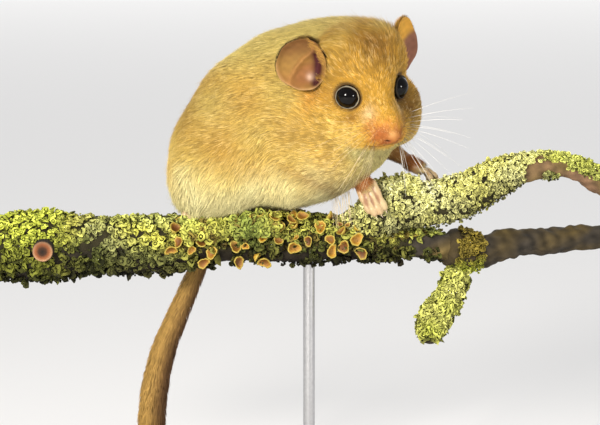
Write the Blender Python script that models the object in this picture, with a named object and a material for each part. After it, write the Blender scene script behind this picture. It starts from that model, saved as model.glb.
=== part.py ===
"""A hazel dormouse on a lichened branch, life size, as a museum model in solids.

Metres, +Z up. +X runs along the branch to the side the animal faces, and -Y is
the side it is looked at from. The origin is the middle of the base's underside.
Places on the animal are given in millimetres from the branch's axis under it,
and places on the head from the middle between the eyes, in the head's own axes.
"""

import math

import bmesh
import bpy
import numpy as np
from mathutils import Matrix, Vector

MM = 0.001
GAP = 0.3 * MM

# Stand
BASE_LENGTH = 100 * MM
BASE_DEPTH = 66 * MM
BASE_THICKNESS = 4.5 * MM
BASE_CORNER = 9 * MM
BASE_BEVEL = 1.0 * MM
ROD_RADIUS = 1.3 * MM
ROD_X = 2 * MM
SOCKET_DEPTH = 2.0 * MM
PERCH_HEIGHT = 66 * MM

# Head: the middle between the eyes, and how the head is turned from the branch's line
HEAD_AT = (15.7, -10.0, 33.9)
HEAD_YAW = 62
HEAD_PITCH = 24
HEAD_ROLL = 7

# Trunk masses: centre, radii, yaw, pitch
TRUNK = {
    "rump": ((-16.0, 4.5, 18.8), (13.0, 12.3, 12.3), 5, 0),
    "loin": ((-9.0, 4.0, 24.8), (14.7, 13.8, 16.5), 12, -25),
    "ribs": ((-1.2, 4.8, 30.4), (14.0, 12.0, 16.4), 20, -25),
    "shoulders": ((4.5, 5.4, 33.0), (12.0, 9.6, 12.8), 28, -20),
    "belly": ((-6.0, 2.5, 16.7), (16.0, 11.0, 9.3), 10, -4),
    "chest": ((8.0, -2.0, 22.5), (9.5, 8.5, 9.0), 35, 0),
    "throat": ((13.0, -6.5, 22.0), (6.5, 6.0, 5.5), 50, 30),
    "thigh_right": ((-17.5, -3.5, 15.5), (10.5, 7.8, 8.4), 6, -5),
    "thigh_left": ((-15.0, 12.5, 15.5), (10.5, 7.8, 8.4), 6, -5),
    "upper_arm_right": ((4.0, -7.6, 18.0), (9.0, 4.6, 5.4), 20, 20),
    "upper_arm_left": ((9.5, 7.0, 23.0), (8.0, 4.6, 6.0), 25, 25),
    "scruff": ((6.2, 1.5, 40.7), (9.6, 7.8, 7.8), 0, 0),
    "hip": ((-19.4, -1.0, 12.6), (8.1, 8.0, 6.4), 0, 0),
    "elbow": ((1.0, -6.2, 14.0), (8.2, 4.8, 5.1), 12, -10),
}
TRUNK_BLEND = 5.0 * MM

# Head masses: centre and radii as forward, side, up, mirrored where the side isn't 0
SKULL = {
    "cranium": ((-6.2, 0, 1.5), (10.2, 9.4, 9.0)),
    "temple": ((-7.2, 3.8, 4.6), (7.4, 6.2, 7.0)),
    "nape": ((-11.5, 0, 2.3), (8.5, 8.0, 7.8)),
    "cheek": ((-2.6, 6.7, -5.4), (6.8, 5.9, 5.9)),
    "forehead": ((-0.8, 0, 1.2), (5.2, 4.4, 5.2)),
    "bridge": ((3.4, 0, -2.2), (5.2, 3.0, 3.6)),
    "snout_side": ((2.8, 4.1, -6.6), (4.6, 3.8, 3.6)),
    "muzzle": ((4.2, 0, -4.7), (7.0, 3.8, 3.9)),
    "jowl": ((-0.2, 6.2, -9.0), (5.6, 5.3, 4.9)),
    "under_jaw": ((-3.0, 0, -8.4), (7.0, 6.0, 5.0)),
}
SKULL_BLEND = 3.0 * MM
FACE = {
    "lip": ((6.8, 2.1, -6.8), (3.0, 2.4, 2.2)),
    "nose": ((10.2, 0, -5.5), (1.5, 1.6, 1.4)),
    "chin": ((4.2, 0, -9.3), (4.0, 2.6, 1.8)),
}
FACE_BLEND = 1.2 * MM
NECK_BLEND = 4.0 * MM

# Eyes: a ball in a round hollow of the face, with a lid raised round it
EYE_AT = (0.3, 5.5, 0.0)
EYE_LOOK = (0.76, 0.60, 0.24)
EYE_RADIUS = 2.65 * MM
LID_THICKNESS = 0.5 * MM
LID_ANGLE = math.radians(63)
LID_BLEND = 1.3 * MM
HOLLOW_RADIUS = 3.8 * MM
HOLLOW_OUT = 4.1 * MM
HOLLOW_BLEND = 2.4 * MM

# Nostrils and mouth, in head axes
NOSTRIL_AT = (11.2, 0.95, -5.8)
NOSTRIL_RADII = (1.0, 0.42, 0.36)
MOUTH_AT = (3.6, 0, -8.5)
MOUTH_HALF_ANGLE = math.radians(78)
MOUTH_WIDTH = 0.35 * MM
MOUTH_DEPTH = 0.8 * MM
PHILTRUM_SIZE = (2.4, 0.35, 1.6)
PHILTRUM_AT = (10.6, 0, -7.5)

# Ears: side, where the blade leaves the head, how it leans, which way its cup faces, half its width and length
EARS = {
    "ear_right": (1, (-5.2, 10.9, 0.4), (-0.72, 0.36, 0.60), (0.9, 0.4, 0.1), 5.4, 6.0),
    "ear_left": (-1, (-6.4, 9.2, -0.8), (-0.59, 0.41, 0.70), (0.87, 0.49, 0.02), 5.1, 6.4),
}
EAR_THICKNESS = 0.55 * MM
EAR_CUP = 1.3 * MM
EAR_RIM_CURL = 1.3 * MM
CONCHA_AT = (-0.10, -0.38)
CONCHA_SIZE = 0.42
CONCHA_DEPTH = 0.9 * MM
EAR_RINGS = 5
EAR_SPOKES = 18

# Where the head and the neck part from the trunk, in head axes: centre and radius
HEAD_BALL = ((0, 0, 0), 13.8)
NECK_BALL = ((-2.4, 0, 0), 17.6)
# Where the limbs part from the trunk: centre, radii, yaw, pitch
THIGHS = {
    "hindleg_right": ((-17.5, -8.0, 14.0), (12.0, 8.6, 10.5), 6, -5),
    "hindleg_left": ((-15.5, 17.5, 14.0), (12.0, 8.6, 10.5), 6, -5),
}
SHOULDERS = {
    "foreleg_right": ((4.5, -9.0, 18.3), (8.6, 5.6, 7.0), 20, 20),
    "foreleg_left": ((10.5, 10.2, 23.3), (8.0, 6.0, 7.5), 25, 25),
}

# Limbs: runs of centre points and radius
FOREARMS = {
    "foreleg_right": ((5.5, -7.0, 19.0, 3.2), (9.6, -7.2, 16.2, 2.8), (12.9, -7.7, 13.5, 1.9)),
    "foreleg_left": ((12.0, 7.6, 23.6, 3.4), (18.5, 4.8, 20.3, 2.6), (23.6, 3.0, 17.2, 1.75)),
}
HANDS = {
    "hand_right": {
        "palm": ((13.1, -7.7, 13.3, 1.8), (14.2, -7.6, 12.0, 1.8), (15.0, -7.2, 11.0, 1.5)),
        "tips": ((14.6, -6.9, 7.1), (15.9, -6.9, 6.6), (17.4, -6.7, 7.3), (18.6, -6.2, 8.7)),
        "spread": (1.25, 0.1, 0.45),
    },
    "hand_left": {
        "palm": ((23.9, 2.9, 17.0, 1.7), (25.6, 2.4, 15.9, 1.7), (26.8, 2.0, 15.2, 1.4)),
        "tips": ((29.8, -0.9, 13.7), (31.2, 0.5, 13.9), (31.0, 2.2, 13.3), (29.8, 3.9, 12.0)),
        "spread": (0.5, 1.0, -0.15),
    },
}
FINGER_RADIUS = 0.72
FINGER_TIP_RADIUS = 0.5
FINGER_ARCH = 0.7
FEET = {
    "hindfoot_right": {
        "palm": ((-26.6, -5.2, 7.4, 1.6), (-22.5, -5.9, 6.0, 1.6), (-17.6, -6.1, 5.3, 1.6)),
        "tips": ((-15.6, -7.6, 1.2), (-14.0, -7.5, 1.7), (-12.4, -7.2, 2.5), (-11.2, -6.8, 3.5),
                 (-11.2, -5.9, 5.0)),
        "spread": (1.0, 0.3, 0.65),
    },
    "hindfoot_left": {
        "palm": ((-14.6, 6.2, 7.0, 1.7), (-10.5, 7.0, 5.9, 1.7), (-5.4, 7.5, 5.2, 1.7)),
        "tips": ((-4.2, 8.9, 0.9), (-2.4, 8.9, 1.2), (-0.6, 8.8, 1.8), (0.8, 8.4, 3.0), (1.0, 7.2, 4.8)),
        "spread": (1.1, -0.3, 0.75),
    },
}

# Tail: centre line and radius out to its fringe
TAIL_RUN = ((-17.5, 9.5, 9.0, 3.6), (-20.0, 11.5, 0.0, 2.9), (-22.6, 11.5, -7.2, 2.8), (-26.9, 11.0, -17.3, 3.1),
            (-30.6, 10.5, -26.4, 3.4), (-32.6, 10.0, -34.6, 3.6), (-33.5, 9.5, -43.1, 3.5),
            (-33.6, 9.0, -51.5, 2.8), (-33.2, 8.6, -57.2, 1.2))
TAIL_PARTS = ("tail_base", "tail_middle", "tail_tip")
TAIL_STATIONS = 25
TAIL_SIDES = 10

# Branch: centre lines and radius out to the lichen's tips
STEM_RUN = ((-71, -1, -1.5, 8.0), (-56, -1, -1.5, 8.6), (-46, 0, -1.2, 7.6), (-34, 0, -1.0, 7.4),
            (-22, 0, -0.6, 6.8), (-8, 0, 0.4, 6.6), (4, 0, 0.4, 6.6), (14, 1, 0.0, 6.0), (24, 2.5, -1.2, 4.8),
            (34, 5, -2.6, 4.6))
LOWER_RUN = ((34, 5, -2.6, 4.5), (40, 7, -3.6, 3.9), (47, 9, -2.2, 3.4), (56, 12, -2.0, 3.1), (71, 16, -1.4, 2.9))
UPPER_RUN = ((12, 0, 2.0, 5.0), (20, -1, 7.2, 6.0), (28, -1.5, 7.6, 5.6), (36, -2, 10.2, 5.6), (42, -2, 13.4, 5.2),
             (48, -1, 15.6, 4.0), (54, 1, 16.2, 3.4), (60, 3, 15.6, 2.8), (66, 5, 12.6, 3.4), (71, 6.5, 9.6, 3.4))
STUB_RUN = ((36, 5.5, -4.0, 3.2), (34, 5, -12.0, 4.0), (29.5, 4.5, -20.0, 4.4), (28.6, 4.4, -23.0, 3.4))
SNAG_RUN = ((-55.7, -2.0, -1.2, 2.7), (-55.7, -9.0, -1.0, 2.7), (-55.7, -11.2, -0.9, 2.5))
LUMP = 0.05
FORK_GAP = 0.5 * MM

# Colours
FUR = (0.62, 0.40, 0.13)
SKIN = (0.72, 0.40, 0.30)
EYE_BLACK = (0.01, 0.01, 0.01)
LICHEN = (0.50, 0.50, 0.16)
BARK = (0.20, 0.15, 0.12)
WALNUT = (0.10, 0.05, 0.03)
STEEL = (0.60, 0.60, 0.62)


def clear_scene():
    for obj in list(bpy.data.objects):
        bpy.data.objects.remove(obj, do_unlink=True)


def mm(*values):
    return np.array(values, float) * MM


def seat(*values):
    """A place given from the branch's axis under the animal."""
    return mm(*values) + np.array([0, 0, PERCH_HEIGHT])


def turned(yaw=0, pitch=0, roll=0):
    """Axes as columns: forward, the animal's right side, up. Yaw turns to -Y, pitch lowers the front."""
    yaw, pitch, roll = (math.radians(angle) for angle in (yaw, pitch, roll))
    forward = np.array([math.cos(yaw) * math.cos(pitch), -math.sin(yaw) * math.cos(pitch), -math.sin(pitch)])
    side = np.array([-math.sin(yaw), -math.cos(yaw), 0.0])
    up = np.cross(side, forward)
    rolled_side = side * math.cos(roll) - up * math.sin(roll)
    rolled_up = up * math.cos(roll) + side * math.sin(roll)
    return np.stack([forward, rolled_side, rolled_up], axis=1)


HEAD_AXES = turned(HEAD_YAW, HEAD_PITCH, HEAD_ROLL)


def on_head(forward, side, up):
    return seat(*HEAD_AT) + HEAD_AXES @ mm(forward, side, up)


def head_direction(direction, side=1):
    """A direction in the head's axes, mirrored for the left side, in world axes."""
    mirrored = HEAD_AXES @ (np.array(direction, float) * (1, side, 1))
    return mirrored / np.linalg.norm(mirrored)


def eye_place(side):
    return on_head(EYE_AT[0], EYE_AT[1] * side, EYE_AT[2])


# Mesh sizes: the flesh's voxels and triangles, and the balls that part it
TRUNK_VOXEL = 1.6 * MM
TRUNK_TRIANGLES = 2000
HEAD_VOXEL = 0.75 * MM
HEAD_TRIANGLES = 6400


# The flesh as one smooth form: signed distances to ellipsoids, melted together

def blend(one, other, width):
    """The nearer of two distances, rounded where they cross."""
    near = np.maximum(width - np.abs(one - other), 0) / width
    return np.minimum(one, other) - near * near * width / 4


def ellipsoid_distance(points, centre, radii, axes):
    local = (points - centre) @ axes
    scaled = np.linalg.norm(local / radii, axis=-1)
    slope = np.linalg.norm(local / radii ** 2, axis=-1)
    return scaled * (scaled - 1) / np.maximum(slope, 1e-12)


def trunk_distance(points):
    value = None
    for centre, radii, yaw, pitch in TRUNK.values():
        mass = ellipsoid_distance(points, seat(*centre), mm(*radii), turned(yaw, pitch))
        value = mass if value is None else blend(value, mass, TRUNK_BLEND)
    return value


def mirrored_masses(masses):
    for (forward, side, up), radii in masses.values():
        for sign in ((1, -1) if side else (1,)):
            yield on_head(forward, side * sign, up), mm(*radii)


def skull_distance(points):
    value = None
    for centre, radii in mirrored_masses(SKULL):
        mass = ellipsoid_distance(points, centre, radii, HEAD_AXES)
        value = mass if value is None else blend(value, mass, SKULL_BLEND)
    for centre, radii in mirrored_masses(FACE):
        value = blend(value, ellipsoid_distance(points, centre, radii, HEAD_AXES), FACE_BLEND)
    return value


def flesh_distance(points):
    """Head and trunk in one, with the hollow and the raised lid of each eye."""
    value = blend(trunk_distance(points), skull_distance(points), NECK_BLEND)
    lid_radius = EYE_RADIUS + GAP + LID_THICKNESS
    for side in (1, -1):
        centre = eye_place(side)
        look = head_direction(EYE_LOOK, side)
        hollow = np.linalg.norm(points - centre - look * HOLLOW_OUT, axis=-1) - HOLLOW_RADIUS
        value = -blend(-value, hollow, HOLLOW_BLEND)
        lid = np.linalg.norm(points - centre, axis=-1) - lid_radius
        value = blend(value, lid, LID_BLEND)
    return value


def settled(points, distance, rounds=4):
    """Points moved onto the surface where the distance is 0."""
    step = 0.01 * MM
    for _ in range(rounds):
        value = distance(points)
        slope = np.zeros_like(points)
        for axis in range(3):
            nudge = np.zeros(3)
            nudge[axis] = step
            slope[:, axis] = (distance(points + nudge) - distance(points - nudge)) / (2 * step)
        length = np.maximum((slope ** 2).sum(axis=1), 0.05)
        move = slope * (value / length)[:, None]
        reach = np.linalg.norm(move, axis=1)
        limit = np.minimum(1, 1.0 * MM / np.maximum(reach, 1e-9))
        points = points - move * limit[:, None]
    return points


# Mesh helpers

def new_object(name, bm):
    bm.normal_update()
    bmesh.ops.recalc_face_normals(bm, faces=bm.faces)
    mesh = bpy.data.meshes.new(name)
    bm.to_mesh(mesh)
    bm.free()
    obj = bpy.data.objects.new(name, mesh)
    bpy.context.scene.collection.objects.link(obj)
    return obj


def removed(obj):
    bpy.data.objects.remove(obj, do_unlink=True)


def applied(obj):
    """The object with its modifiers made part of its mesh."""
    bpy.context.view_layer.update()
    depsgraph = bpy.context.evaluated_depsgraph_get()
    mesh = bpy.data.meshes.new_from_object(obj.evaluated_get(depsgraph))
    obj.modifiers.clear()
    obj.data = mesh
    return obj


def vertex_places(obj):
    places = np.zeros(len(obj.data.vertices) * 3)
    obj.data.vertices.foreach_get("co", places)
    return places.reshape(-1, 3)


def set_vertex_places(obj, places):
    obj.data.vertices.foreach_set("co", places.ravel())
    obj.data.update()


def largest_body(obj):
    """Keeps only the largest connected surface of the mesh."""
    bm = bmesh.new()
    bm.from_mesh(obj.data)
    bmesh.ops.triangulate(bm, faces=bm.faces)
    seen = set()
    bodies = []
    for start in bm.verts:
        if start in seen:
            continue
        seen.add(start)
        body = [start]
        for vert in body:
            for edge in vert.link_edges:
                other = edge.other_vert(vert)
                if other not in seen:
                    seen.add(other)
                    body.append(other)
        bodies.append(body)
    bodies.sort(key=len)
    for body in bodies[:-1]:
        bmesh.ops.delete(bm, geom=body, context="VERTS")
    bm.to_mesh(obj.data)
    bm.free()
    return obj


def volume(obj):
    bm = bmesh.new()
    bm.from_mesh(obj.data)
    size = abs(bm.calc_volume())
    bm.free()
    return size


def boolean(obj, other, operation, keep=False, least=0.0):
    """The object cut by, or kept inside, another, as its largest body.

    Manifold takes over where exact leaves no more than the least share of the volume.
    """
    start = obj.data
    least_volume = volume(obj) * least
    for solver in ("EXACT", "MANIFOLD"):
        obj.data = start
        modifier = obj.modifiers.new(operation.title(), "BOOLEAN")
        modifier.operation = operation
        modifier.solver = solver
        modifier.object = other
        largest_body(applied(obj))
        if volume(obj) > least_volume:
            break
    if not keep:
        removed(other)
    return obj


def joined(name, pieces):
    """One closed body from overlapping closed pieces."""
    collection = bpy.data.collections.new(name + "_pieces")
    bpy.context.scene.collection.children.link(collection)
    whole = pieces[0]
    whole.name = name
    for piece in pieces[1:]:
        bpy.context.scene.collection.objects.unlink(piece)
        collection.objects.link(piece)
    modifier = whole.modifiers.new("Union", "BOOLEAN")
    modifier.operation = "UNION"
    modifier.operand_type = "COLLECTION"
    modifier.collection = collection
    applied(whole)
    for piece in pieces[1:]:
        removed(piece)
    bpy.data.collections.remove(collection)
    return largest_body(whole)


def copied(obj, name):
    twin = bpy.data.objects.new(name, obj.data.copy())
    bpy.context.scene.collection.objects.link(twin)
    return twin


def grown(obj, name, distance):
    """A copy whose surface lies the distance outside the object's."""
    twin = copied(obj, name)
    bm = bmesh.new()
    bm.from_mesh(twin.data)
    bmesh.ops.recalc_face_normals(bm, faces=bm.faces)
    bm.normal_update()
    for vert in bm.verts:
        vert.co += vert.normal * vert.calc_shell_factor() * distance
    bm.to_mesh(twin.data)
    bm.free()
    return twin


def ball(name, centre, radii, axes, segments=32, rings=18):
    bm = bmesh.new()
    bmesh.ops.create_uvsphere(bm, u_segments=segments, v_segments=rings, radius=1.0)
    for vert in bm.verts:
        vert.co = Vector(centre + axes @ (np.array(vert.co) * radii))
    return new_object(name, bm)


def finish(obj, colour, roughness, metallic=0.0):
    material = bpy.data.materials.new(obj.name)
    material.use_nodes = True
    shader = material.node_tree.nodes["Principled BSDF"]
    shader.inputs["Base Color"].default_value = (*colour, 1.0)
    shader.inputs["Roughness"].default_value = roughness
    shader.inputs["Metallic"].default_value = metallic
    obj.data.materials.clear()
    obj.data.materials.append(material)
    obj.data.shade_smooth()
    obj.data.set_sharp_from_angle(angle=math.radians(40))
    return obj


# Swept runs, for limbs, fingers, the tail and the branch

def smooth_run(run, stations):
    """Places and radii read from a smooth curve through the run's points, evenly along it."""
    knots = np.array(run, float)
    knots = np.vstack([2 * knots[0] - knots[1], knots, 2 * knots[-1] - knots[-2]])
    fine = []
    for index in range(1, len(knots) - 2):
        before, start, end, after = knots[index - 1:index + 3]
        for t in np.linspace(0, 1, 24, endpoint=False):
            fine.append(0.5 * (2 * start + (end - before) * t
                               + (2 * before - 5 * start + 4 * end - after) * t ** 2
                               + (3 * start - before - 3 * end + after) * t ** 3))
    fine.append(knots[-2])
    fine = np.array(fine)
    lengths = np.concatenate([[0], np.cumsum(np.linalg.norm(np.diff(fine[:, :3], axis=0), axis=1))])
    wanted = np.linspace(0, lengths[-1], stations)
    return np.stack([np.interp(wanted, lengths, fine[:, k]) for k in range(4)], axis=1)


def swept(name, stations, sides, lump=0.0, seed=0.0, round_end=False, round_start=False):
    """A closed tube through the stations, each a place in millimetres and a radius."""
    places = np.array([seat(*station[:3]) for station in stations])
    radii = np.array([station[3] for station in stations]) * MM
    tangents = np.gradient(places, axis=0)
    if round_end:
        end = places[-1] + tangents[-1] / np.linalg.norm(tangents[-1]) * radii[-1] * 0.6
        places = np.vstack([places, end])
        radii = np.append(radii, radii[-1] * 0.6)
        tangents = np.vstack([tangents, tangents[-1]])
    if round_start:
        start = places[0] - tangents[0] / np.linalg.norm(tangents[0]) * radii[0] * 0.6
        places = np.vstack([start, places])
        radii = np.insert(radii, 0, radii[0] * 0.6)
        tangents = np.vstack([tangents[0], tangents])
    tangents /= np.linalg.norm(tangents, axis=1, keepdims=True)
    across = np.cross(tangents[0], (0.0, 0.3, 1.0))
    bm = bmesh.new()
    rings = []
    for index, (place, radius, tangent) in enumerate(zip(places, radii, tangents)):
        across = across - tangent * (across @ tangent)
        across /= np.linalg.norm(across)
        other = np.cross(tangent, across)
        ring = []
        for side in range(sides):
            angle = 2 * math.pi * side / sides
            bump = math.sin(2 * angle + 0.9 * index + seed) + math.sin(3 * angle - 0.6 * index + 2 * seed)
            reach = radius * (1 + lump * bump)
            ring.append(bm.verts.new(place + reach * (math.cos(angle) * across + math.sin(angle) * other)))
        rings.append(ring)
    for before, after in zip(rings, rings[1:]):
        for side in range(sides):
            following = (side + 1) % sides
            bm.faces.new((before[side], before[following], after[following], after[side]))
    bm.faces.new(rings[0][::-1])
    bm.faces.new(rings[-1])
    return new_object(name, bm)


# The flesh

def flesh(name, voxel, triangles):
    """The whole animal without ears, limbs and tail, as a closed mesh of about so many triangles."""
    bm = bmesh.new()
    masses = [(seat(*centre), mm(*radii), turned(yaw, pitch)) for centre, radii, yaw, pitch in TRUNK.values()]
    masses += [(centre, radii, HEAD_AXES) for centre, radii in mirrored_masses(SKULL)]
    masses += [(centre, radii, HEAD_AXES) for centre, radii in mirrored_masses(FACE)]
    lid_radius = EYE_RADIUS + GAP + LID_THICKNESS
    masses += [(eye_place(side), np.full(3, lid_radius), HEAD_AXES) for side in (1, -1)]
    for centre, radii, axes in masses:
        made = bmesh.ops.create_icosphere(bm, subdivisions=3, radius=1.0)
        for vert in made["verts"]:
            vert.co = Vector(centre + axes @ (np.array(vert.co) * radii))
    obj = new_object(name, bm)
    remesh = obj.modifiers.new("Remesh", "REMESH")
    remesh.mode = "VOXEL"
    remesh.voxel_size = voxel
    applied(obj)
    set_vertex_places(obj, settled(vertex_places(obj), flesh_distance, rounds=6))
    decimate = obj.modifiers.new("Decimate", "DECIMATE")
    decimate.ratio = triangles / (2 * len(obj.data.polygons))
    applied(obj)
    set_vertex_places(obj, settled(vertex_places(obj), flesh_distance, rounds=2))
    return largest_body(obj)


def eye_cutter(side):
    """The ball and the opening of the lids, in one closed form."""
    centre = eye_place(side)
    look = head_direction(EYE_LOOK, side)
    socket = EYE_RADIUS + GAP
    across = np.cross(look, (0.0, 0.0, 1.0))
    across /= np.linalg.norm(across)
    other = np.cross(look, across)
    profile = [(socket * math.sin(angle), -socket * math.cos(angle))
               for angle in np.linspace(0, math.pi - LID_ANGLE, 7)[1:]]
    mouth = socket + LID_THICKNESS + 0.5 * MM
    profile.append((mouth * math.sin(LID_ANGLE), mouth * math.cos(LID_ANGLE)))
    profile.append((mouth * math.sin(LID_ANGLE) * 0.8, mouth))
    sides = 20
    bm = bmesh.new()
    pole = bm.verts.new(centre - look * socket)
    rings = []
    for radius, along in profile:
        rings.append([bm.verts.new(centre + look * along
                                   + radius * (math.cos(turn) * across + math.sin(turn) * other))
                      for turn in np.linspace(0, 2 * math.pi, sides, endpoint=False)])
    for side_index in range(sides):
        following = (side_index + 1) % sides
        bm.faces.new((pole, rings[0][side_index], rings[0][following]))
        for before, after in zip(rings, rings[1:]):
            bm.faces.new((before[side_index], after[side_index], after[following], before[following]))
    bm.faces.new(rings[-1])
    return new_object("eye_cutter", bm)


def surface_reach(origin, direction, limit=16 * MM):
    """How far the flesh reaches from an inner point, in one direction."""
    low, high = 0.0, limit
    for _ in range(24):
        middle = (low + high) / 2
        inside = flesh_distance((origin + direction * middle)[None])[0] < 0
        low, high = (middle, high) if inside else (low, middle)
    return low


def mouth_cutter():
    """A thin crescent that follows the front of the muzzle, a little under its surface."""
    origin = on_head(*MOUTH_AT)
    bm = bmesh.new()
    columns = []
    for angle in np.linspace(-MOUTH_HALF_ANGLE, MOUTH_HALF_ANGLE, 15):
        droop = -0.12 * (angle / MOUTH_HALF_ANGLE) ** 2
        direction = head_direction((math.cos(angle), math.sin(angle), droop))
        reach = surface_reach(origin, direction)
        fade = 1 - 0.75 * (angle / MOUTH_HALF_ANGLE) ** 4
        inner = origin + direction * (reach - MOUTH_DEPTH * fade)
        outer = origin + direction * (reach + 1.0 * MM)
        lift = HEAD_AXES[:, 2] * MOUTH_WIDTH / 2
        columns.append([bm.verts.new(place) for place in
                        (inner - lift * 0.5, outer - lift, outer + lift, inner + lift * 0.5)])
    for before, after in zip(columns, columns[1:]):
        for index in range(4):
            following = (index + 1) % 4
            bm.faces.new((before[index], before[following], after[following], after[index]))
    bm.faces.new(columns[0][::-1])
    bm.faces.new(columns[-1])
    return new_object("mouth_cutter", bm)


def philtrum_cutter():
    bm = bmesh.new()
    bmesh.ops.create_cube(bm, size=1.0)
    for vert in bm.verts:
        local = np.array(PHILTRUM_AT) + np.array(vert.co) * PHILTRUM_SIZE
        vert.co = Vector(on_head(*local))
    return new_object("philtrum_cutter", bm)


def head_ball(name, centre, radius):
    return ball(name, on_head(*centre), np.full(3, radius), HEAD_AXES, segments=24, rings=13)


def head(whole):
    obj = boolean(whole, head_ball("head_ball", HEAD_BALL[0], HEAD_BALL[1] * MM), "INTERSECT")
    obj.name = "head"
    for side in (1, -1):
        obj = boolean(obj, eye_cutter(side), "DIFFERENCE")
        forward, out, up = NOSTRIL_AT
        axes = HEAD_AXES @ np.array(Matrix.Rotation(math.radians(-28 * side), 3, "Z"))
        nostril = ball("nostril_cutter", on_head(forward, out * side, up), mm(*NOSTRIL_RADII), axes, 10, 6)
        obj = boolean(obj, nostril, "DIFFERENCE")
    obj = boolean(obj, mouth_cutter(), "DIFFERENCE")
    obj = boolean(obj, philtrum_cutter(), "DIFFERENCE")
    return obj


def eye(side, name):
    return ball(name, eye_place(side), np.full(3, EYE_RADIUS), HEAD_AXES, 16, 10)


def ear(name, body_space):
    """A thin round cup on a narrow root, pinched at the inner corner of its base."""
    side, (forward, out, up), lean, face, half_width, half_length = EARS[name]
    lean = head_direction(lean, side)
    face = head_direction(face, side)
    face -= lean * (face @ lean)
    face /= np.linalg.norm(face)
    outward = np.cross(lean, face)
    if outward @ head_direction((0, 1, 0), side) < 0:
        outward = -outward
    centre = on_head(forward, out * side, up) + lean * half_length * MM

    def ear_point(reach, turn, back):
        x = reach * math.sin(turn) * (1 + 0.10 * math.cos(turn))
        y = reach * math.cos(turn)
        depth = EAR_RIM_CURL * x * x - EAR_CUP * (1 - reach ** 2)
        off = math.hypot(x - CONCHA_AT[0], y - CONCHA_AT[1]) / CONCHA_SIZE
        depth -= CONCHA_DEPTH * math.exp(-off * off) * (1 - reach ** 4)
        if back:
            depth -= EAR_THICKNESS * (1.0 + 1.2 * (1 - reach ** 2))
        return centre + (outward * x * half_width + lean * y * half_length) * MM + face * depth

    bm = bmesh.new()
    layers = []
    for back in (False, True):
        middle = bm.verts.new(ear_point(0, 0, back))
        rings = []
        for ring in range(1, EAR_RINGS + 1):
            reach = ring / EAR_RINGS
            rings.append([bm.verts.new(ear_point(reach, 2 * math.pi * spoke / EAR_SPOKES, back))
                          for spoke in range(EAR_SPOKES)])
        layers.append(rings)
        for spoke in range(EAR_SPOKES):
            following = (spoke + 1) % EAR_SPOKES
            bm.faces.new((middle, rings[0][spoke], rings[0][following]))
            for before, after in zip(rings, rings[1:]):
                bm.faces.new((before[spoke], after[spoke], after[following]))
                bm.faces.new((before[spoke], after[following], before[following]))
    for spoke in range(EAR_SPOKES):
        following = (spoke + 1) % EAR_SPOKES
        front_rim, back_rim = layers[0][-1], layers[1][-1]
        bm.faces.new((front_rim[spoke], back_rim[spoke], back_rim[following]))
        bm.faces.new((front_rim[spoke], back_rim[following], front_rim[following]))
    bmesh.ops.recalc_face_normals(bm, faces=bm.faces)
    return boolean(new_object(name, bm), body_space, "DIFFERENCE", keep=True)


def paw(name, plan, spaces):
    """A palm with its fingers or toes, each arched over the branch, cut clear of what it touches."""
    palm = plan["palm"]
    pieces = [swept(name, smooth_run(palm, 4), 8, round_end=True, round_start=True)]
    root = np.array(palm[-1][:3])
    spread = np.array(plan["spread"])
    middle = (len(plan["tips"]) - 1) / 2
    for index, tip in enumerate(plan["tips"]):
        start = np.array(palm[-1][:3]) + spread * (index - middle) * 0.62
        inner = root * 0.35 + np.array(palm[-2][:3]) * 0.65 + spread * (index - middle) * 0.3
        tip = np.array(tip)
        away = start - seat_axis_near(start)
        away /= np.linalg.norm(away)
        knuckle = start * 0.45 + tip * 0.55 + away * FINGER_ARCH
        run = ((*inner, FINGER_RADIUS), (*start, FINGER_RADIUS * 1.05), (*knuckle, FINGER_RADIUS * 0.95),
               (*tip, FINGER_TIP_RADIUS))
        pieces.append(swept(f"{name}_digit_{index}", smooth_run(run, 6), 5, round_end=True))
    obj = joined(name, pieces)
    for space in spaces:
        obj = boolean(obj, space, "DIFFERENCE", keep=True)
    return obj


def seat_axis_near(place):
    """The nearest point of the branch's centre lines to a place, both in millimetres."""
    axis = np.vstack([smooth_run(run, 40)[:, :3] for run in (STEM_RUN, UPPER_RUN)])
    return axis[np.argmin(np.linalg.norm(axis - place, axis=1))]


def parted(trunk, name, centre, radii, yaw, pitch):
    """A rounded piece taken out of the trunk, as where a limb meets it, and the trunk without it."""
    axes = turned(yaw, pitch)
    piece = boolean(copied(trunk, name), limb_ball(centre, mm(*radii), axes), "INTERSECT")
    trunk = boolean(trunk, limb_ball(centre, mm(*radii) + GAP, axes), "DIFFERENCE")
    return piece, trunk


def limb_ball(centre, radii, axes):
    return ball("limb_ball", seat(*centre), radii, axes, segments=18, rings=11)


def foreleg(trunk, name, spaces):
    """The upper arm parted from the trunk and the forearm in one, and the trunk cut clear of both."""
    shoulder, trunk = parted(trunk, name, *SHOULDERS[name])
    forearm = swept("forearm", smooth_run(FOREARMS[name], 5), 10)
    for space in spaces:
        forearm = boolean(forearm, space, "DIFFERENCE", keep=True)
    trunk = boolean(trunk, grown(forearm, "forearm_space", GAP), "DIFFERENCE")
    return joined(name, [shoulder, forearm]), trunk


def tail(body_space):
    """Three lengths of the tail, the first cut clear of the rump."""
    stations = smooth_run(TAIL_RUN, TAIL_STATIONS)
    share = (TAIL_STATIONS - 1) // len(TAIL_PARTS)
    parts = []
    for index, name in enumerate(TAIL_PARTS):
        part = stations[index * share:(index + 1) * share + 1].copy()
        if index:
            step = part[1] - part[0]
            part[0] += step * (GAP / MM) / np.linalg.norm(step[:3])
        parts.append(swept(name, part, TAIL_SIDES, round_end=index == len(TAIL_PARTS) - 1))
    boolean(parts[0], body_space, "DIFFERENCE", keep=True)
    return parts


# The branch and the stand

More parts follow.
